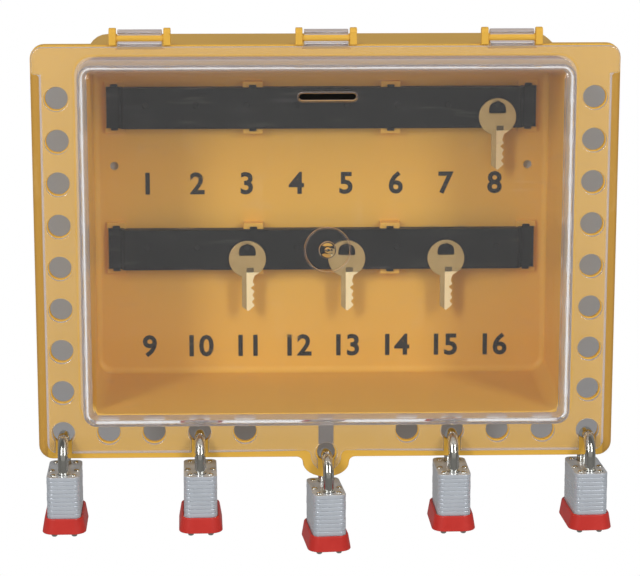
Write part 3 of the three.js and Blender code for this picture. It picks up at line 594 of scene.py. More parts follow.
# Outlines, as lists of points in a plane, turning left

def arc(centre, radius, start, end, steps):
    """Points of an arc, both ends among them. Radius may be a pair for an ellipse."""
    across, up = radius if isinstance(radius, tuple) else (radius, radius)
    turns = [start + (end - start) * i / steps for i in range(steps + 1)]
    return [(centre[0] + across * math.cos(turn), centre[1] + up * math.sin(turn)) for turn in turns]


def circle(centre, radius, steps=HOLE_STEPS):
    return arc(centre, radius, 0, 2 * math.pi, steps)[:-1]


def round_rectangle(left, low, right, high, radius, steps=CORNER_STEPS):
    quarter = math.pi / 2
    return (
        arc((right - radius, low + radius), radius, -quarter, 0, steps)
        + arc((right - radius, high - radius), radius, 0, quarter, steps)
        + arc((left + radius, high - radius), radius, quarter, 2 * quarter, steps)
        + arc((left + radius, low + radius), radius, 2 * quarter, 3 * quarter, steps)
    )


def mirrored(points):
    return [(-x, z) for x, z in reversed(points)]


def grown(points, by):
    """The outline moved outwards along the middle of each corner."""
    moved = []
    count = len(points)
    for i, point in enumerate(points):
        here = Vector(point)
        before = (here - Vector(points[i - 1])).normalized()
        after = (Vector(points[(i + 1) % count]) - here).normalized()
        normals = Vector((before.y, -before.x)) + Vector((after.y, -after.x))
        length = max(normals.length, SHARPEST)
        moved.append(tuple(here + normals * (2 * by / length ** 2)))
    return moved


def placed(name, data):
    """A new object in the scene."""
    made = bpy.data.objects.new(name, data)
    SCENE.collection.objects.link(made)
    return made


def settled(made):
    """The mesh of an object as its modifiers leave it."""
    bpy.context.view_layer.update()
    return bpy.data.meshes.new_from_object(
        made.evaluated_get(bpy.context.evaluated_depsgraph_get()))


def removed(*objects):
    for made in objects:
        bpy.data.objects.remove(made)


class Skin:
    """A closed skin made of bands between rings and flat faces with holes. Sizes are in millimetres."""

    def __init__(self):
        self.mesh = bmesh.new()

    def band(self, rings, closed=False):
        """Joins rings of as many points each and returns the first and the last."""
        made = [[self.mesh.verts.new(point) for point in points] for points in rings]
        pairs = list(zip(made, made[1:]))
        if closed:
            pairs.append((made[-1], made[0]))
        for lower, upper in pairs:
            for i in range(len(lower)):
                self.mesh.faces.new((lower[i - 1], lower[i], upper[i], upper[i - 1]))
        return made[0], made[-1]

    def face(self, *rings):
        """Fills the flat region between an outer ring and the rings inside it."""
        edges = []
        for ring in rings:
            for i in range(len(ring)):
                edge = self.mesh.edges.get((ring[i - 1], ring[i]))
                edges.append(edge or self.mesh.edges.new((ring[i - 1], ring[i])))
        bmesh.ops.triangle_fill(self.mesh, use_beauty=True, edges=edges)

    def finished(self, name):
        bmesh.ops.recalc_face_normals(self.mesh, faces=self.mesh.faces)
        open_edges = [edge for edge in self.mesh.edges if len(edge.link_faces) != 2]
        if open_edges:
            print("open skin:", name, len(open_edges))
        data = bpy.data.meshes.new(name)
        self.mesh.to_mesh(data)
        self.mesh.free()
        return placed(name, data)


def capped(name, rings):
    """A closed solid made of its rings, with a flat face at each end."""
    skin = Skin()
    for end in skin.band(rings):
        skin.face(end)
    return skin.finished(name)


def at_x(points, x):
    return [(x, y, z) for y, z in points]


def at_y(points, y):
    return [(x, y, z) for x, z in points]


def at_z(points, z):
    return [(x, y, z) for x, y in points]


def quarter_round(radius, steps=ROUND_STEPS):
    """Pairs of how far in and how far along a rounded edge goes, from its side to its face."""
    turns = [math.pi / 2 * i / steps for i in range(steps + 1)]
    return [(radius * (1 - math.cos(turn)), radius * math.sin(turn)) for turn in turns]


def rounding(loop, start, way, radius, steps=ROUND_STEPS, side=1, flipped=False):
    """Rings of a rounded edge. The loop gives the outline for an inset and a depth."""
    pairs = quarter_round(radius, steps)
    if flipped:
        pairs.reverse()
    return [
        at_y(loop(side * inset, start + way * along), start + way * along) for inset, along in pairs
    ]


def edge_rings(points, back, front, radius, level=at_y, rounded_back=True):
    """Rings of an outline's wall from its back to its front, with both edges rounded over."""
    sign = math.copysign(1, front - back)
    rings = [] if rounded_back else [level(points, back)]
    if rounded_back:
        for inset, along in reversed(quarter_round(radius)):
            rings.append(level(grown(points, -inset), back + sign * (radius - along)))
    for inset, along in quarter_round(radius):
        rings.append(level(grown(points, -inset), front - sign * (radius - along)))
    return rings


def solid_of(name, points, back, front, radius, level=at_y):
    """A plate of an outline with rounded edges."""
    return capped(name, edge_rings(points, back, front, radius, level))


def block(name, low, high, radius):
    """A box with rounded edges, between two corners."""
    points = round_rectangle(low[0], low[2], high[0], high[2], radius, 2)
    return solid_of(name, points, high[1], low[1], radius)


def turned(name, profile, steps=20):
    """A closed shape turned round Z from pairs of radius and height."""
    return capped(name, [at_z(circle((0, 0), radius, steps), height) for radius, height in profile])


def joined(base, others, operation="UNION", face_kind=0):
    """The base with the others added to it or cut from it, as one closed mesh."""
    for other in others:
        for polygon in other.data.polygons:
            polygon.material_index = face_kind
        step = base.modifiers.new("join", "BOOLEAN")
        step.operation = operation
        step.solver = "MANIFOLD"
        step.object = other
    data = settled(base)
    base.modifiers.clear()
    base.data = data
    removed(*others)
    return base


def mark_creases(mesh, angle, flat):
    """Sharpens folds past the angle, and the borders of the flat faces that look along an axis."""
    for edge in mesh.edges:
        if len(edge.link_faces) != 2:
            continue
        first, second = edge.link_faces
        fold = first.normal.angle(second.normal, 0)
        first_flat, second_flat = (abs(face.normal[flat]) > ALONG_AXIS for face in (first, second))
        border = first_flat != second_flat
        edge.smooth = not (fold > angle or border and fold > LEAST_FOLD)


def piece(
    name, sources, materials, slot, body, *replaced, place=Matrix.Identity(4), crease=40, flat=1,
):
    """Joins meshes or objects into one finished piece that rides on a body."""
    mesh = bmesh.new()
    for source in sources:
        data = source.data if isinstance(source, bpy.types.Object) else source
        mesh.from_mesh(data)
    bmesh.ops.remove_doubles(mesh, verts=mesh.verts, dist=MERGE_DISTANCE)
    bmesh.ops.dissolve_degenerate(mesh, edges=mesh.edges, dist=MERGE_DISTANCE)
    mesh.normal_update()
    mark_creases(mesh, math.radians(crease), flat)
    mesh.transform(Matrix.Scale(MM, 4) @ place)
    for face in mesh.faces:
        face.smooth = True
        face.material_index = min(face.material_index, len(materials) - 1)
    data = bpy.data.meshes.new(name)
    mesh.to_mesh(data)
    mesh.free()
    for material in materials:
        data.materials.append(material)
    made = placed(name, data)
    weigh = made.modifiers.new("weigh", "WEIGHTED_NORMAL")
    weigh.keep_sharp = True
    weigh.weight = 60
    final = settled(made)
    made.modifiers.clear()
    made.data = final
    final.name = name
    removed(*(source for source in sources if isinstance(source, bpy.types.Object)))
    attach(made, body)
    if replaced:
        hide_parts(*replaced)
    return made


# What repeats: pegs, plates and rivets

def repeat_tree():
    """Repeats a part along a line, with a small seeded drift, and gives real meshes."""
    tree = bpy.data.node_groups.new("repeat_along_a_line", "GeometryNodeTree")
    sockets = {}
    for name, kind in (
        ("Part", "NodeSocketObject"), ("Count", "NodeSocketInt"), ("Start", "NodeSocketVector"),
        ("Step", "NodeSocketVector"), ("Drift", "NodeSocketVector"), ("Seed", "NodeSocketInt"),
        ("Material", "NodeSocketMaterial"),
    ):
        sockets[name] = tree.interface.new_socket(name, in_out="INPUT", socket_type=kind)
    tree.interface.new_socket("Geometry", in_out="OUTPUT", socket_type="NodeSocketGeometry")

    def node(kind, settings=(), **links):
        made = tree.nodes.new(kind)
        for name, value in dict(settings).items():
            setattr(made, name, value)
        for name, value in links.items():
            tree.links.new(value, made.inputs[name.replace("_", " ")])
        return made

    given = node("NodeGroupInput").outputs
    line = node(
        "GeometryNodeMeshLine", {"mode": "OFFSET"},
        Count=given["Count"], Start_Location=given["Start"], Offset=given["Step"],
    )
    info = node("GeometryNodeObjectInfo", Object=given["Part"])
    copies = node(
        "GeometryNodeInstanceOnPoints", Points=line.outputs["Mesh"], Instance=info.outputs["Geometry"],
    )
    back = node("ShaderNodeVectorMath", {"operation": "SCALE"}, Vector=given["Drift"])
    back.inputs["Scale"].default_value = -1
    drift = node(
        "FunctionNodeRandomValue", {"data_type": "FLOAT_VECTOR"},
        Min=back.outputs["Vector"], Max=given["Drift"], Seed=given["Seed"],
    )
    moved = node(
        "GeometryNodeTranslateInstances",
        Instances=copies.outputs["Instances"], Translation=drift.outputs["Value"],
    )
    real = node("GeometryNodeRealizeInstances", Geometry=moved.outputs["Instances"])
    coated = node(
        "GeometryNodeSetMaterial", Geometry=real.outputs["Geometry"], Material=given["Material"],
    )
    node("NodeGroupOutput", Geometry=coated.outputs["Geometry"])
    return tree, {name: socket.identifier for name, socket in sockets.items()}


REPEAT_TREE, REPEAT_INPUTS = repeat_tree()


def repeated(part, material, count, start, step, drift=(0, 0, 0), seed=0):
    """The mesh of a part repeated along a line."""
    holder = placed("repeat", bpy.data.meshes.new("repeat"))
    modifier = holder.modifiers.new("repeat", "NODES")
    modifier.node_group = REPEAT_TREE
    values = {
        "Part": part, "Count": count, "Start": start, "Step": step,
        "Drift": drift, "Seed": seed, "Material": material,
    }
    for name, value in values.items():
        modifier[REPEAT_INPUTS[name]] = value
    data = settled(holder)
    removed(holder)
    return data


# Shell

def hole_centres():
    """Centres of the padlock holes on both side columns, the lower corners and the lower row."""
    centres = []
    for side in (-1, 1):
        for i in range(COLUMN_COUNT):
            centres.append((side * COLUMN_X, FLANGE_TOP - COLUMN_TOP_INSET - i * COLUMN_PITCH))
        centres.append((side * COLUMN_X, ROW_Z))
        for i in range(ROW_COUNT):
            centres.append((side * (ROW_FIRST_X + i * ROW_PITCH), ROW_Z))
    return centres


def lobe_half(margin, steps=8):
    """Right half of the lobe's outline, from the middle of its nose up to the lower edge."""
    radius = LOBE_RADIUS - margin
    edge = FLANGE_BOTTOM + margin
    nose = arc((0, edge - LOBE_FILLET), (radius, LOBE_DROP - LOBE_FILLET), -math.pi / 2, 0, steps)
    fillet = arc(
        (radius + LOBE_FILLET, edge - LOBE_FILLET), LOBE_FILLET, math.pi, math.pi / 2, steps // 2)
    return nose + fillet[1:]


def flange_outline():
    """Outline of the flange with the lobe below and the bays for the hooks above."""
    bay_half = HOOK_WIDTH / 2 + HOOK_RELIEF
    bay_bottom = FLANGE_TOP - SKIRT_WALL
    half = FLANGE_HALF
    r = FLANGE_CORNER
    right = lobe_half(0)
    right += arc((half - r, FLANGE_BOTTOM + r), r, -math.pi / 2, 0, CORNER_STEPS)
    right += arc((half - r, FLANGE_TOP - r), r, 0, math.pi / 2, CORNER_STEPS)
    for x in reversed(HINGE_XS[1:]):
        right += [(x + bay_half, FLANGE_TOP), (x + bay_half, bay_bottom)]
        if x:
            right += [(x - bay_half, bay_bottom), (x - bay_half, FLANGE_TOP)]
    return right + mirrored(right)[:-1]


def flange_rings(back, front):
    """Rings of the flange's edge, rolled back wide at its two sides and rounded narrowly elsewhere."""
    points = flange_outline()
    rings = [at_y(points, back)]
    for inset, along in quarter_round(LIP_ROUND, LIP_STEPS):
        share = inset / LIP_ROUND
        ring = []
        for x, z in grown(points, -share * EDGE_ROUND):
            side = max(0, abs(x) - FLANGE_HALF + FLANGE_CORNER) / FLANGE_CORNER
            ring.append((x - math.copysign(side * share * LIP_INSET, x), z))
        rings.append(at_y(ring, front + LIP_ROUND - along))
    return rings


def keyhole():
    """The hole in the lobe and the slot that leads up from it."""
    half = LOBE_SLOT_WIDTH / 2
    top = BODY_BOTTOM - LOBE_SLOT_BELOW_BODY
    start = math.asin(half / LOBE_HOLE_RADIUS)
    round_part = arc(
        (0, LOBE_HOLE_Z), LOBE_HOLE_RADIUS, math.pi / 2 + start, 2.5 * math.pi - start, 24)
    return round_part + [(half, top), (-half, top)]


def body_loop(inset, steps=CORNER_STEPS):
    return round_rectangle(
        -BODY_HALF + inset, BODY_BOTTOM + inset, BODY_HALF - inset, BODY_TOP - inset,
        BODY_CORNER - inset, steps,
    )


def shell_walls():
    """The flange and the hollow body behind it, as one skin with every hole through it."""
    skin = Skin()
    back, front = FLANGE_BACK_Y, FLANGE_FRONT_Y
    outer_back, outer_front = skin.band(flange_rings(back, front))
    fronts, backs = [outer_front], [outer_back]
    for points in [circle(centre, HOLE_RADIUS) for centre in hole_centres()] + [keyhole()]:
        edge = rounding(lambda inset, y: grown(points, inset), front + EDGE_ROUND, -1, EDGE_ROUND)
        first, last = skin.band([at_y(points, back)] + edge)
        backs.append(first)
        fronts.append(last)

    def inside(inset, y):
        return body_loop(BODY_WALL + inset)

    def outside(inset, y):
        return body_loop(inset)

    mouth, inside_back = skin.band(
        rounding(inside, front + MOUTH_ROUND, -1, MOUTH_ROUND, side=-1, flipped=True)
        + rounding(inside, -BODY_WALL - BODY_ROUND, 1, BODY_ROUND, BODY_ROUND_STEPS))
    fronts.append(mouth)
    root, outside_back = skin.band(
        [at_y(body_loop(0), back)]
        + rounding(outside, -BODY_ROUND, 1, BODY_ROUND, BODY_ROUND_STEPS))
    backs.append(root)

    screw_fronts, screw_backs = [], []
    low, high = corners("upper_key_rail")
    screw_z = low.z / 2 + high.z / 2 - SCREW_BELOW_RAIL
    for side in (-1, 1):
        points = circle((side * (BODY_HALF - SCREW_INSET), screw_z), SCREW_HOLE_RADIUS, SMALL_HOLE_STEPS)
        first, last = skin.band([at_y(points, 0), at_y(points, -BODY_WALL)])
        screw_backs.append(first)
        screw_fronts.append(last)
    skin.face(*fronts)
    skin.face(*backs)
    skin.face(inside_back, *screw_fronts)
    skin.face(outside_back, *screw_backs)
    return skin.finished("shell_walls")


def skirt():
    """The rim that stands behind the flange's edge, open behind the hooks and the lobe."""
    half = FLANGE_HALF
    points = round_rectangle(-half, FLANGE_BOTTOM, half, FLANGE_TOP, FLANGE_CORNER)
    inner = round_rectangle(
        -half + SKIRT_WALL, FLANGE_BOTTOM + SKIRT_WALL, half - SKIRT_WALL, FLANGE_TOP - SKIRT_WALL,
        FLANGE_CORNER - SKIRT_WALL,
    )
    back = FLANGE_BACK_Y + SKIRT_DEPTH
    front = FLANGE_BACK_Y - SKIRT_SINK
    soft = EDGE_ROUND / 2
    skin = Skin()
    skin.band([
        at_y(points, front), at_y(points, back - soft), at_y(grown(points, -soft), back),
        at_y(grown(inner, soft), back), at_y(inner, back - soft), at_y(inner, front),
    ], closed=True)
    rim = skin.finished("skirt")

    def gap(left, right, low, high):
        return block("gap", (left, front - REACH, low), (right, back + REACH, high), GAP_EDGE)

    gaps = [gap(
        x - HOOK_WIDTH / 2 - HOOK_RELIEF, x + HOOK_WIDTH / 2 + HOOK_RELIEF,
        FLANGE_TOP - SKIRT_WALL - REACH / 2, FLANGE_TOP + REACH,
    ) for x in HINGE_XS]
    gaps.append(gap(
        -LOBE_SKIRT_GAP / 2, LOBE_SKIRT_GAP / 2,
        FLANGE_BOTTOM - REACH, FLANGE_BOTTOM + SKIRT_WALL + REACH / 2,
    ))
    return joined(rim, gaps, "DIFFERENCE")


def hinge_parts(x):
    """Two lugs with rounded tops and the bar between them."""
    half = LUG_DEPTH / 2
    low = HINGE.z - BAR_RISE
    top = low + LUG_RISE
    profile = [
        (HINGE.y - half, low), (HINGE.y + LUG_TOE, low - LUG_SINK), (HINGE.y + half, low - LUG_SINK),
    ]
    for side, start in ((1, 0), (-1, math.pi / 2)):
        centre = (HINGE.y + side * (half - LUG_ROUND), top - LUG_ROUND)
        profile += arc(centre, LUG_ROUND, start, start + math.pi / 2, 4)
    parts = [
        capped("lug", edge_rings(profile, left, left + LUG_THICKNESS, BLOCK_EDGE, at_x))
        for left in (x - LUG_SPAN / 2 - LUG_THICKNESS, x + LUG_SPAN / 2)
    ]
    reach = LUG_SPAN / 2 + BAR_SINK
    points = circle((HINGE.y, HINGE.z), BAR_RADIUS, BAR_STEPS)
    return parts + [capped("bar", [at_x(points, x - reach), at_x(points, x + reach)])]


def rail_pads(rail):
    """Pads on the back wall behind a rail. The middle ones reach the back of its raised face."""
    low, high = corners(rail)
    middle = (low.z + high.z) / 2
    half = (high.z - low.z) / 2 - TAB_RISE + PAD_MARGIN
    end = high.x - END_PAD_INSET
    places = [(side * end, PAD_RISE) for side in (-1, 1)]
    places += [(side * MID_PAD_X, PAD_RISE + RAIL_RAISE) for side in (-1, 1)]
    return [block(
        "pad", (x - PAD_WIDTH / 2, -BODY_WALL - rise, middle - half),
        (x + PAD_WIDTH / 2, -BODY_WALL / 2, middle + half), BLOCK_EDGE,
    ) for x, rise in places]


def make_shell():
    parts = [skirt()]
    for x in HINGE_XS:
        parts += hinge_parts(x)
    parts += rail_pads("upper_key_rail") + rail_pads("lower_key_rail")
    whole = joined(shell_walls(), parts)
    return piece("lockout_shell", [whole], [YELLOW], "yellow_plastic", "box", "shell")


# Cover

def lock_places():
    """Where each padlock hangs: name, origin of its shackle in millimetres, and turn about Z."""
    places = []
    for joint in frame["joints"]:
        name = joint["name"].replace("_swing", "")
        if joint["name"].endswith("_swing") and name in LOCKS:
            places.append((name, Vector(joint["pos_m"]) / MM, math.radians(LOCKS[name])))
    return places


def slotted_hole(x, hole_z, radius, rim_z):
    """The way up from the rim into a hole and back down, from left to right."""
    half = RELIEF_SLOT_WIDTH / 2
    start = math.asin(half / radius)
    return (
        [(x - half, rim_z)]
        + arc((x, hole_z), radius, 1.5 * math.pi - start, -0.5 * math.pi + start, 24)
        + [(x + half, rim_z)]
    )


def cover_outline():
    """Outline of the cover's plate, with the slots that the padlocked holes open into."""
    top = FLANGE_TOP - COVER_TOP_MARGIN
    step = FLANGE_TOP - COVER_STEP_DROP
    wide = FLANGE_HALF - COVER_TOP_MARGIN
    narrow = FLANGE_HALF - COVER_SIDE_MARGIN
    r = COVER_CORNER
    quarter = math.pi / 2
    half = RELIEF_SLOT_WIDTH / 2
    lobe = lobe_half(COVER_LOBE_MARGIN, 12)
    at_slot = math.radians(-90) + math.asin(half / LOBE_COVER_HOLE_RADIUS)
    right = arc((0, LOBE_HOLE_Z), LOBE_COVER_HOLE_RADIUS, quarter, at_slot, 12)
    lobe_x = LOBE_RADIUS - COVER_LOBE_MARGIN
    rise = (LOBE_DROP - LOBE_FILLET) * math.sqrt(1 - (half / lobe_x) ** 2)
    right.append((half, COVER_RIM_Z - LOBE_FILLET - rise))
    right += [point for point in lobe if point[0] > half + NEAREST]
    bore = COVER_HOLE_RADIUS - COVER_EDGE_ROUND
    right += slotted_hole(ROW_FIRST_X + ROW_PITCH, ROW_Z, bore, COVER_RIM_Z)
    right += slotted_hole(COLUMN_X, ROW_Z, bore, COVER_RIM_Z)[:-1]
    corner = (narrow - r, COVER_RIM_Z + r)
    from_slot = -math.acos((COLUMN_X + half - corner[0]) / r)
    right += arc(corner, r, from_slot, 0, CORNER_STEPS)
    slope = COVER_STEP_SLOPE
    right += [
        (narrow, step - slope), (narrow + slope, step), (wide - slope, step), (wide, step + slope),
    ]
    right += arc((wide - r, top - r), r, 0, quarter, CORNER_STEPS)
    return right[1:] + mirrored(right)[:-1] + [right[0]]


def window_loop(inset, y):
    """The raised window's outline at a depth, narrower towards the front."""
    draft = WINDOW_DRAFT * max(0, COVER_FRONT_Y - y) / WINDOW_RISE
    return round_rectangle(
        -WINDOW_HALF + inset + draft, WINDOW_BOTTOM + inset + draft,
        WINDOW_HALF - inset - draft, WINDOW_TOP - inset - draft,
        max(WINDOW_CORNER - inset - draft, WINDOW_LEAST_CORNER), CORNER_STEPS + 2,
    )


def slot_loop(rim):
    half = DROP_SLOT_HEIGHT / 2 + rim
    reach = DROP_SLOT_WIDTH / 2 + rim
    z = WINDOW_TOP - DROP_SLOT_BELOW_TOP
    return round_rectangle(-reach, z - half, reach, z + half, half - 0.01, CORNER_STEPS)


def cover_plate():
    """The plate, its raised window, the key slot and the round mark, as one skin."""
    skin = Skin()
    back, front = COVER_BACK_Y, COVER_FRONT_Y
    locked = {(side * COLUMN_X, ROW_Z) for side in (-1, 1)}
    locked |= {(side * (ROW_FIRST_X + ROW_PITCH), ROW_Z) for side in (-1, 1)}
    outer_back, outer_front = skin.band(
        edge_rings(cover_outline(), back, front, COVER_EDGE_ROUND, rounded_back=False))
    backs, fronts = [outer_back], [outer_front]
    bore = COVER_HOLE_RADIUS - COVER_HOLE_ROUND
    for centre in hole_centres():
        if centre in locked:
            continue
        edge = rounding(
            lambda inset, y: circle(centre, bore + inset), front + COVER_HOLE_ROUND, -1, COVER_HOLE_ROUND)
        first, last = skin.band([at_y(circle(centre, bore), back)] + edge)
        backs.append(first)
        fronts.append(last)

    # Outside of the window, from its foot to its face
    rings = rounding(window_loop, front - WINDOW_FOOT, 1, WINDOW_FOOT, side=-1, flipped=True)
    rings += rounding(window_loop, WINDOW_FRONT_Y + WINDOW_ROUND, -1, WINDOW_ROUND, WINDOW_STEPS)
    rings[0] = at_y(window_loop(-WINDOW_FOOT, front), front)
    foot, window_front = skin.band(rings)
    fronts.append(foot)

    # Inside of the window
    inner_face = WINDOW_FRONT_Y + WINDOW_WALL
    inner_round = WINDOW_ROUND - WINDOW_WALL / 2
    root, window_back = skin.band(rounding(
        lambda inset, y: window_loop(WINDOW_WALL + inset, back),
        back - COVER_EDGE_ROUND, 1, COVER_EDGE_ROUND, side=-1, flipped=True,
    ) + rounding(
        lambda inset, y: window_loop(WINDOW_WALL + inset, y),
        inner_face + inner_round, -1, inner_round, WINDOW_STEPS,
    ))
    backs.append(root)

    # Key slot, with its raised rim
    rim_front = WINDOW_FRONT_Y - DIAL_RISE
    soft = SMALL_EDGE
    slot_rim, slot_back = skin.band([at_y(slot_loop(rim), y) for rim, y in (
        (DROP_SLOT_RIM, WINDOW_FRONT_Y), (DROP_SLOT_RIM, rim_front + soft),
        (DROP_SLOT_RIM - soft, rim_front), (soft, rim_front), (0, rim_front + soft), (0, inner_face),
    )])

    # Round mark: a ring and a button
    def mark(radius, rise):
        loop = circle((0, WINDOW_MIDDLE_Z), radius, MARK_STEPS)
        return at_y(loop, WINDOW_FRONT_Y - DIAL_RISE * rise)

    ring_outer, ring_inner = skin.band([
        mark(DIAL_RADIUS, 0), mark(DIAL_RADIUS - soft, 1),
        mark(DIAL_RADIUS - DIAL_RING_WALL + soft, 1), mark(DIAL_RADIUS - DIAL_RING_WALL, 0),
    ])
    button_foot, button_top = skin.band([
        mark(DIAL_BUTTON_RADIUS * share, rise) for share, rise in BUTTON_SHARES
    ])
    skin.face(*fronts)
    skin.face(*backs)
    skin.face(window_front, slot_rim, ring_outer)
    skin.face(ring_inner, button_foot)
    skin.face(button_top)
    skin.face(window_back, slot_back)
    return skin.finished("cover_plate")


def hook(x):
    """One hook round a hinge bar, open to the front, with the tab that joins it to the cover."""
    mouth = HOOK_MOUTH_HALF_ANGLE
    centre = (HINGE.y, HINGE.z)
    start = math.pi + mouth
    outline = arc(centre, HOOK_OUTER_RADIUS, start - 2 * mouth, start - 2 * math.pi, HOOK_STEPS)
    outline += arc(
        centre, BAR_RADIUS + HOOK_CLEARANCE, start, start + 2 * math.pi - 2 * mouth, HOOK_STEPS)
    outline.reverse()
    half = HOOK_WIDTH / 2
    ring = capped("hook", edge_rings(outline, x - half, x + half, SMALL_EDGE, at_x))
    tab = block(
        "tab", (x - half, COVER_FRONT_Y, FLANGE_TOP - 4 * COVER_TOP_MARGIN),
        (x + half, COVER_BACK_Y, HINGE.z - BAR_RADIUS), SMALL_EDGE,
    )
    return [ring, tab]


def make_cover():
    parts = []
    for x in HINGE_XS:
        parts += hook(x)
    whole = joined(cover_plate(), parts)
    return piece("clear_cover", [whole], [CLEAR], "clear_plastic", "cover", "cover")


# Rails and keys

def peg():
    """One peg with a button head, standing along -Y."""
    root = RAIL_SHEET / 2
    profile = [
        (PEG_RADIUS, -root), (PEG_RADIUS, PEG_LENGTH - PEG_HEAD_START),
        (PEG_HEAD_RADIUS, PEG_LENGTH - PEG_HEAD_BACK),
        (PEG_HEAD_RADIUS, PEG_LENGTH + PEG_HEAD_SIDE),
        (PEG_HEAD_RADIUS - PEG_HEAD_CHAMFER, PEG_LENGTH + PEG_HEAD_FRONT),
    ]
    made = turned("peg", profile, SMALL_STEPS)
    made.data.transform(Matrix.Rotation(math.radians(90) - PEG_TILT, 4, "X"))
    return made


def make_rail(name, node):
    """A rail: a bent sheet with rounded lips, snap tabs and a row of pegs."""
    low, high = corners(node)
    half = high.x
    raised = half - RAIL_FOOT
    back = high.y
    foot = back - RAIL_SHEET
    face = foot - RAIL_RAISE
    top, bottom = high.z - TAB_RISE, low.z + TAB_RISE
    middle = (top + bottom) / 2
    bend = RAIL_BEND
    outside = [(half, foot)]
    outside += arc((raised + bend, foot - bend / 2), bend / 2, math.pi / 2, RAIL_FOOT_TURN, 4)
    outside += arc((raised - bend, face + bend), bend, 0, -math.pi / 2, 5)
    inner = raised - RAIL_SHEET
    inside = [
        (half, back), (raised + bend - RAIL_SHEET, back),
        (inner + INNER_BEND_LEAN, face + bend + INNER_BEND_REACH),
        (inner - INNER_BEND_CUT, face + RAIL_SHEET + INNER_BEND_CUT),
        (raised - bend - INNER_BEND_REACH, face + RAIL_SHEET),
    ]
    points = outside + mirrored(outside)
    points += [(-x, y) for x, y in inside] + list(reversed(inside))
    sheet = solid_of("sheet", points, bottom, top, RAIL_ROUND, at_z)
    sheet_half = RAIL_SHEET / 2
    gap = PAD_WIDTH / 2 + SMALL_EDGE
    spans = (
        (-inner, -MID_PAD_X - gap), (-MID_PAD_X + gap, MID_PAD_X - gap), (MID_PAD_X + gap, inner),
    )
    lips = [block(
        "lip", (left, face + sheet_half, z - sheet_half), (right, back, z + sheet_half), SMALL_EDGE,
    ) for z in (top - sheet_half, bottom + sheet_half) for left, right in spans]
    places = [(-half + END_PAD_INSET, foot), (half - END_PAD_INSET, foot)]
    places += [(-MID_PAD_X, face), (MID_PAD_X, face)]
    tabs = [block(
        "tab", (x - TAB_WIDTH / 2, front, bottom - TAB_RISE),
        (x + TAB_WIDTH / 2, front + RAIL_SHEET, top + TAB_RISE), TAB_EDGE,
    ) for x, front in places]
    body = joined(sheet, lips + tabs)
    one_peg = peg()
    first_x = -PEG_PITCH * (PEG_COUNT - 1) / 2
    pegs = repeated(
        one_peg, BLACK, PEG_COUNT, (first_x, face, middle + PEG_ABOVE_CENTRE), (PEG_PITCH, 0, 0))
    removed(one_peg)
    return piece(name, [body, pegs], [BLACK], "black_plastic", "box", node)


def make_key(name, node):
    """A key drawn about its peg: round bow, arched eye, cut blade and a milled flank."""
    low, high = corners(node)
    bow_top = high.z
    x = (low.x + high.x) / 2
    bow_z = bow_top - KEY_BOW_RADIUS
    neck_z = bow_top - KEY_NECK_DROP
    left = x + KEY_BLADE_OFFSET - KEY_BLADE_WIDTH / 2
    right = x + KEY_BLADE_OFFSET + KEY_BLADE_WIDTH / 2
    blade = neck_z - low.z
    point = KEY_BLADE_WIDTH / 3
    pitch = blade / (2 * len(KEY_CUT_SHARES) + 2)
    outline = [
        (left, low.z + point + KEY_TIP_SHOULDER), (left + KEY_TIP_INSET, low.z + point),
        (x + KEY_BLADE_OFFSET, low.z),
    ]
    outline.append((right - KEY_CUT_DEPTHS[-1] / 2, low.z + point))
    for share, depth in reversed(list(zip(KEY_CUT_SHARES, KEY_CUT_DEPTHS))):
        z = neck_z - share * blade
        outline += [
            (right, z - pitch), (right - depth, z - KEY_CUT_HALF), (right - depth, z + KEY_CUT_HALF),
        ]
    outline.append((right, neck_z))
    meet_right = math.acos((right - x) / KEY_BOW_RADIUS)
    meet_left = math.acos((x - left) / KEY_BOW_RADIUS)
    outline += arc((x, bow_z), KEY_BOW_RADIUS, -meet_right, math.pi + meet_left, KEY_BOW_STEPS)
    eye_z = bow_top - KEY_BOW_ROOF - KEY_EYE_HEIGHT
    eye = []
    eye_half = KEY_EYE_WIDTH / 2
    for across, up in arc((0, 0), 1, 0, math.pi, SMALL_STEPS):
        across = math.copysign(abs(across) ** KEY_EYE_SHOULDER, across)
        up = max(up, 0) ** KEY_EYE_SHOULDER
        rise = KEY_EYE_SILL + (KEY_EYE_HEIGHT - KEY_EYE_SILL) * up
        eye.append((x + eye_half * across, eye_z + rise))
    sill_half = eye_half - KEY_EYE_CORNER
    eye += [(x - sill_half, eye_z), (x + sill_half, eye_z)]

    def eye_loop(inset, y):
        return grown(eye, inset)

    skin = Skin()
    first, last = skin.band(edge_rings(outline, high.y, low.y, KEY_ROUND))
    eye_back, eye_front = skin.band(
        rounding(eye_loop, high.y - KEY_ROUND, 1, KEY_ROUND, flipped=True)
        + rounding(eye_loop, low.y + KEY_ROUND, -1, KEY_ROUND))
    skin.face(first, eye_back)
    skin.face(last, eye_front)
    blank = skin.finished("blank")
    mill_x = left + KEY_BLADE_WIDTH * MILL_SHARE
    mill_z = neck_z + MILL_START
    mill = block(
        "mill", (-MILL_HALF, -REACH, low.z - REACH - bow_z), (MILL_HALF, 0, mill_z - bow_z), MILL_EDGE)
    mill.data.transform(
        Matrix.Translation((mill_x + MILL_HALF, low.y + MILL_DEPTH, bow_z))
        @ Matrix.Rotation(math.radians(MILL_TILT), 4, "Z"))
    run_out = block(
        "run_out", (mill_x + RUN_OUT_LEFT, low.y - REACH / 2, mill_z - RUN_OUT_OVERLAP),
        (right - RUN_OUT_RIGHT, low.y + MILL_DEPTH, mill_z + RUN_OUT_LENGTH), MILL_EDGE,
    )
    # Faces of the milled flank take the finish with its painted highlight, and those of the run-out the
    # painted shade.
    cut = joined(blank, [mill], "DIFFERENCE", 1)
    cut = joined(cut, [run_out], "DIFFERENCE", 2)
    return piece(name, [cut], [KEY_METAL, KEY_CUT, KEY_RUNOUT_SHADE], "key_metal", node, node, crease=25)


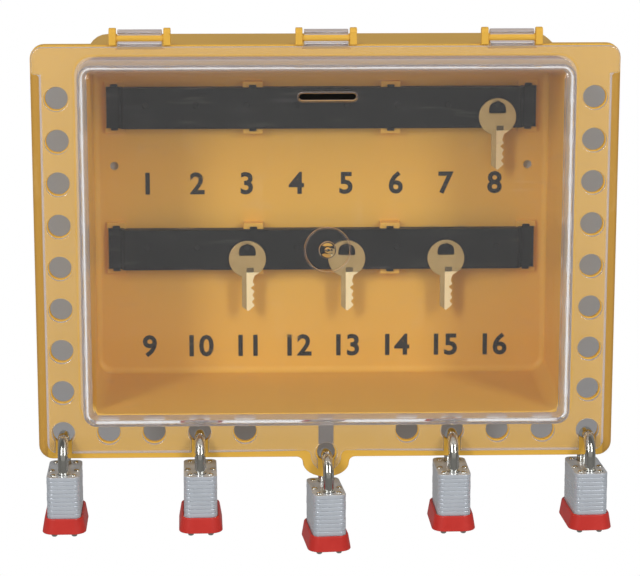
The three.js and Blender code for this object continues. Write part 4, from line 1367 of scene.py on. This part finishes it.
def make_numbers():
    """A number on the back wall below each peg, printed in black."""
    printed = []
    upright = Matrix.Rotation(math.radians(90), 4, "X")
    for rail, first, below in zip(("upper_key_rail", "lower_key_rail"), (1, 9), NUMBER_DROPS):
        low, high = corners(rail)
        z = (low.z + high.z) / 2 - below
        for i in range(PEG_COUNT):
            text = bpy.data.curves.new("number", "FONT")
            text.body = str(first + i)
            text.size = NUMBER_SIZE
            text.align_x = "CENTER"
            text.align_y = "CENTER"
            text.offset = NUMBER_WEIGHT
            text.extrude = NUMBER_SKIN
            text.resolution_u = 3
            made = placed("number", text)
            data = settled(made)
            removed(made)
            x = PEG_PITCH * (i - (PEG_COUNT - 1) / 2)
            data.transform(Matrix.Translation((x, -BODY_WALL, z)) @ upright)
            printed.append(data)
    return piece("peg_numbers", printed, [INK], "black_plastic", "box")


# Padlocks, drawn about the middle of the shackle's crown

def case_loop(inset, radius=CASE_CORNER, steps=5):
    half, reach = CASE_WIDTH / 2, CASE_LENGTH / 2
    return round_rectangle(
        -half + inset, -reach + inset, half - inset, reach - inset, radius - inset, steps)


def lock_plate(height, holes):
    """One steel plate, its top at height 0, with the holes that reach it."""
    skin = Skin()
    ends = [skin.band(edge_rings(case_loop(0), -height, 0, PLATE_ROUND, at_z))]
    ends += [skin.band([at_z(points, -height), at_z(points, 0)]) for points in holes]
    for rings in zip(*ends):
        skin.face(*rings)
    return skin.finished("plate")


def rivet():
    """A rivet through the whole case: a domed head on top and a small foot below."""
    depth = CASE_TOP - CASE_BOTTOM
    dome = [
        (RIVET_RADIUS * math.cos(turn), RIVET_RISE * math.sin(turn))
        for turn in RIVET_DOME_TURNS
    ]
    end = -depth - RIVET_DROP
    profile = [
        (RIVET_FOOT - RIVET_FOOT_INSET, end), (RIVET_FOOT, end + RIVET_FOOT_SLOPE),
        (RIVET_FOOT, -RIVET_SHANK_SINK), (RIVET_RADIUS, -RIVET_HEAD_SINK),
    ]
    return turned("rivet", profile + dome, SMALL_STEPS)


def case_meshes():
    """The stack of plates and the rivets of one padlock."""
    leg = SHACKLE_RADIUS + LEG_CLEARANCE
    toe, heel = (circle((0, side * SHACKLE_BEND), leg, SMALL_HOLE_STEPS) for side in (-1, 1))
    bore = circle((0, 0), PLUG_RADIUS + PLUG_CLEARANCE, BAR_STEPS)
    low_pitch = BUMPER_HEIGHT / LOWER_PLATES
    meshes = []

    def kept(mesh, kind):
        for polygon in mesh.polygons:
            polygon.material_index = kind
        meshes.append(mesh)

    blanks = UPPER_PLATES - TOE_PLATES - HEEL_PLATES - 1
    above = 0
    for holes, count, pitch, seed in (
        ([toe, heel], TOE_PLATES, PLATE_PITCH, 3), ([heel], HEEL_PLATES, PLATE_PITCH, 6),
        ([], blanks, PLATE_PITCH, 11), ([bore], 1, PLATE_PITCH, 12), ([bore], LOWER_PLATES, low_pitch, 17),
    ):
        plate = lock_plate(pitch - PLATE_GAP, holes)
        start = (0, 0, CASE_TOP - above * PLATE_PITCH)
        drift = (PLATE_DRIFT, PLATE_DRIFT, 0)
        kept(repeated(plate, STEEL, count, start, (0, 0, -pitch), drift, seed), 0)
        removed(plate)
        above += count
    one_rivet = rivet()
    for x, y in RIVET_PAIRS:
        kept(repeated(one_rivet, CHROME, 2, (-x, y, CASE_TOP), (2 * x, 0, 0)), 1)
    removed(one_rivet)
    return meshes


def shackle_mesh():
    """A round bar bent to a U, with chamfered ends."""
    def leg(y, depth, shares):
        return [
            (y, CASE_TOP - depth + share * (depth - CASE_TOP - SHACKLE_BEND)) for share in shares
        ]

    path = leg(-SHACKLE_BEND, TOE_DEPTH, TOE_SHARES)
    for i in range(1, SHACKLE_BEND_STEPS):
        turn = math.pi - math.pi * i / SHACKLE_BEND_STEPS
        path.append((SHACKLE_BEND * math.cos(turn), SHACKLE_BEND * (math.sin(turn) - 1)))
    path += leg(SHACKLE_BEND, HEEL_DEPTH, HEEL_SHARES)
    rings = []
    last_index = len(path) - 1
    chamfer = SHACKLE_CHAMFER
    for i, (y, z) in enumerate(path):
        before = Vector(path[max(i - 1, 0)])
        after = Vector(path[min(i + 1, last_index)])
        along = (after - before).normalized()
        side = Vector((along.y, -along.x))
        sizes = [(0, SHACKLE_RADIUS)]
        if i == 0:
            sizes = [(0, SHACKLE_RADIUS - chamfer), (chamfer, SHACKLE_RADIUS)]
        if i == last_index:
            sizes = [(-chamfer, SHACKLE_RADIUS), (0, SHACKLE_RADIUS - chamfer)]
        for shift, radius in sizes:
            centre = Vector((y, z)) + along * shift
            ring = []
            for k in range(BAR_STEPS):
                turn = 2 * math.pi * k / BAR_STEPS
                flat = centre + side * (radius * math.cos(turn))
                ring.append((radius * math.sin(turn), flat.x, flat.y))
            rings.append(ring)
    return capped("shackle", rings)


def bumper_mesh():
    """The band round the lower plates, wider at its foot, with rounded edges."""
    top = CASE_BOTTOM + BUMPER_HEIGHT
    inner = case_loop(-BUMPER_GAP, CASE_CORNER, 6)
    r = BUMPER_ROUND

    def outer(inset, z):
        lower = (top - z) / BUMPER_HEIGHT
        loop = case_loop(inset - BUMPER_GAP - BUMPER_WALL - BUMPER_FLARE * lower, BUMPER_CORNER, 6)
        return [(x + math.copysign(BUMPER_SPREAD * lower, x), y, z) for x, y in loop]

    rings = [outer(inset, CASE_BOTTOM + r - along) for inset, along in reversed(quarter_round(r))]
    rings += [outer(inset, top - r + along) for inset, along in quarter_round(r)]
    rings += [at_z(inner, top), at_z(inner, CASE_BOTTOM)]
    skin = Skin()
    skin.band(rings, closed=True)
    return skin.finished("bumper")


def plug_mesh():
    """The key plug: a turned face with a keyway and a chamfer."""
    wide, high = KEYWAY_WIDTH / 2, KEYWAY_HEIGHT / 2

    def ward(x, step, low_end, high_end):
        return [
            (x, low_end), (x + step, low_end + step), (x + step, high_end - step), (x, high_end),
        ]

    keyway = [(-wide, -high), (wide, -high)] + ward(wide, *RIGHT_WARD)
    keyway += [(wide, high), (-wide, high)] + ward(-wide, *LEFT_WARD)[::-1]
    skin = Skin()
    foot, top = skin.band([
        at_z(circle((0, 0), PLUG_RADIUS - inset, PLUG_STEPS), CASE_BOTTOM + up)
        for inset, up in ((PLUG_CHAMFER, 0), (0, PLUG_CHAMFER), (0, PLUG_LENGTH))
    ])
    way_foot, way_top = skin.band([at_z(keyway, CASE_BOTTOM), at_z(keyway, CASE_BOTTOM + KEYWAY_DEPTH)])
    skin.face(foot, way_foot)
    skin.face(top)
    skin.face(way_top)
    return skin.finished("plug")


def make_padlocks():
    stack = case_meshes()
    shackle = shackle_mesh()
    bumper = bumper_mesh()
    plug = plug_mesh()
    for name, origin, turn in lock_places():
        place = Matrix.Translation(origin) @ Matrix.Rotation(turn, 4, "Z")
        for part, sources, materials, slot, body in (
            ("shackle", [shackle.data], [CHROME], "shackle_chrome", "shackle"),
            ("plates", stack, [STEEL, CHROME], "plate_steel", "case"),
            ("bumper", [bumper.data], [RED], "red_plastic", "case"),
            ("plug", [plug.data], [BRASS], "plug_brass", "plug"),
        ):
            piece(
                f"{name}_{part}_made", sources, materials, slot, f"{name}_{body}", f"{name}_{part}",
                place=place, flat=2,
            )
    removed(shackle, bumper, plug)


# Room, lamps and camera

# Metres. The cards' room is given as half its width, its front, its back, its floor and its top.
CARD_ROOM = (4.5, -5, 4, -1.19, 3.2)
CARD_LEVELS = {"front": 0.36, "top": 0.12, "side": 0.14, "low": 0.2, "back": 0.24}
BACK_CARD_Y = 0.0012
WALL_Y = 0.0006
WALL_HALF = 3
WALL_TOP = 2.2
FLOOR_HALF = 4
FLOOR_BACK = 3
FLOOR_Z = -1.2
SHADE_COLOR = (0.37, 0.38, 0.4)
SHADE_MIDDLE = 0.0034
SHADE_HALF_WIDTH = 0.2
SHADE_LOW = -0.1658
SHADE_HIGH = 0.111
SHADE_SOFT = 0.009
LOBE_SHADE_HALF = 0.01
LOBE_SHADE_LOW = -0.178
WORLD_LIGHT = 0.45
LAMP_PLACE = (1.25, -1.75, 0.95)
LAMP_TARGET = (0, -0.1, 0)
LAMP_SIZE = (0.4, 1.25)
LAMP_POWERS = {"left_lamp": (-1, 21), "right_lamp": (1, 19)}
CAMERA_PLACE = (-0.0471, -1.7, 0.3175)
CAMERA_AHEAD = (0.0272, 1.0, -0.2146)
CAMERA_LENS = 138.6
WHITE = (1.0, 1.0, 1.0)


def flat_piece(name, points, material):
    """A flat piece of the studio."""
    data = bpy.data.meshes.new(name)
    data.from_pydata(points, [], [(0, 1, 2, 3)])
    data.materials.append(material)
    made = placed(name, data)
    return made


def wall_paint():
    """White paint, greyed by the box's own shade close behind it, and open from behind."""
    finish = Finish("wall_paint")
    across, deep, up = finish.split(finish.place)
    aside = (across - SHADE_MIDDLE).maths("ABSOLUTE")
    beside = 1 - aside.above(SHADE_HALF_WIDTH, SHADE_SOFT)
    lobe = up.above(LOBE_SHADE_LOW, SHADE_SOFT) * (1 - aside.above(LOBE_SHADE_HALF, SHADE_SOFT / 3))
    below = up.above(SHADE_LOW, SHADE_SOFT).maths("MAXIMUM", lobe)
    above = 1 - up.above(SHADE_HIGH, 3 * SHADE_SOFT)
    shade = finish.surface({
        "Base Color": SHADE_COLOR, "Roughness": 0.9, "Specular IOR Level": 0.1,
        "Normal": finish.bump(finish.noise(300.0, 3.0), 0.0001, 0.4),
    })
    paint = finish.between(beside * below * above, finish.glow(WHITE), shade)
    behind = finish.node("NewGeometry", {}, {}, "Backfacing")
    return finish.close(finish.between(behind, paint, finish.node("BsdfTransparent", {}, {})))


def floor_paint():
    finish = Finish("floor_paint")
    color = finish.mixed(finish.noise(12.0, 3.0), (0.72, 0.72, 0.71), (0.78, 0.78, 0.77))
    paint = finish.surface({"Base Color": color, "Roughness": 0.8})
    return finish.close(finish.between(finish.ray("Camera") * 0.5, paint, finish.glow(WHITE)))


def make_room():
    wall = flat_piece("wall", [
        (-WALL_HALF, WALL_Y, FLOOR_Z), (WALL_HALF, WALL_Y, FLOOR_Z),
        (WALL_HALF, WALL_Y, WALL_TOP), (-WALL_HALF, WALL_Y, WALL_TOP),
    ], wall_paint())
    wall.visible_diffuse = False
    wall.visible_glossy = False
    wall.visible_shadow = False
    flat_piece("floor", [
        (-FLOOR_HALF, -FLOOR_HALF, FLOOR_Z), (FLOOR_HALF, -FLOOR_HALF, FLOOR_Z),
        (FLOOR_HALF, FLOOR_BACK, FLOOR_Z), (-FLOOR_HALF, FLOOR_BACK, FLOOR_Z),
    ], floor_paint())
    sky = Finish("studio", bpy.data.worlds.new("studio"))
    seen = sky.ray("Camera").maths("MAXIMUM", sky.ray("Glossy")).maths("MAXIMUM", sky.ray("Transmission"))
    soft, white = (
        sky.node("Background", {}, {"Color": WHITE, "Strength": level}) for level in (WORLD_LIGHT, 1.0)
    )
    SCENE.world = sky.close(sky.between(seen, soft, white), "OutputWorld")


def make_lamps():
    for name, (side, power) in LAMP_POWERS.items():
        data = bpy.data.lights.new(name, "AREA")
        data.shape = "RECTANGLE"
        data.size, data.size_y = LAMP_SIZE
        data.energy = power
        made = placed(name, data)
        made.location = (side * LAMP_PLACE[0], *LAMP_PLACE[1:])
        ahead = Vector(LAMP_TARGET) - made.location
        made.rotation_euler = ahead.to_track_quat("-Z", "Y").to_euler()


def card(name, points, level):
    """A grey card of the studio that only shows in what shines."""
    finish = Finish(name)
    made = flat_piece(name, points, finish.close(finish.glow((level, level, level))))
    made.visible_camera = False
    made.visible_diffuse = False
    made.visible_transmission = False
    made.visible_shadow = False


def make_cards():
    side, front, back, low, high = CARD_ROOM
    for name, y in (("front", front), ("back", BACK_CARD_Y)):
        card(f"{name}_card", [
            (-side, y, low), (side, y, low), (side, y, high), (-side, y, high),
        ], CARD_LEVELS[name])
    for name, z in (("top", high), ("low", low)):
        card(f"{name}_card", [
            (-side, front, z), (side, front, z), (side, back, z), (-side, back, z),
        ], CARD_LEVELS[name])
    for name, x in (("left_card", -side), ("right_card", side)):
        card(name, [
            (x, front, low), (x, back, low), (x, back, high), (x, front, high),
        ], CARD_LEVELS["side"])


def make_camera():
    """The camera at the photograph's viewing angle."""
    data = bpy.data.cameras.new("camera")
    data.sensor_width = 36
    data.lens = CAMERA_LENS
    data.clip_end = 50
    made = placed("camera", data)
    made.location = CAMERA_PLACE
    made.rotation_euler = Vector(CAMERA_AHEAD).to_track_quat("-Z", "Y").to_euler()
    SCENE.camera = made


make_shell()
make_cover()
for level in ("upper", "lower"):
    make_rail(f"{level}_rail_made", f"{level}_key_rail")
for number in range(1, 5):
    make_key(f"key_{number}_made", f"key_{number}")
make_numbers()
make_padlocks()
make_room()
make_cards()
make_lamps()
make_camera()
SCENE.view_settings.view_transform = "Standard"
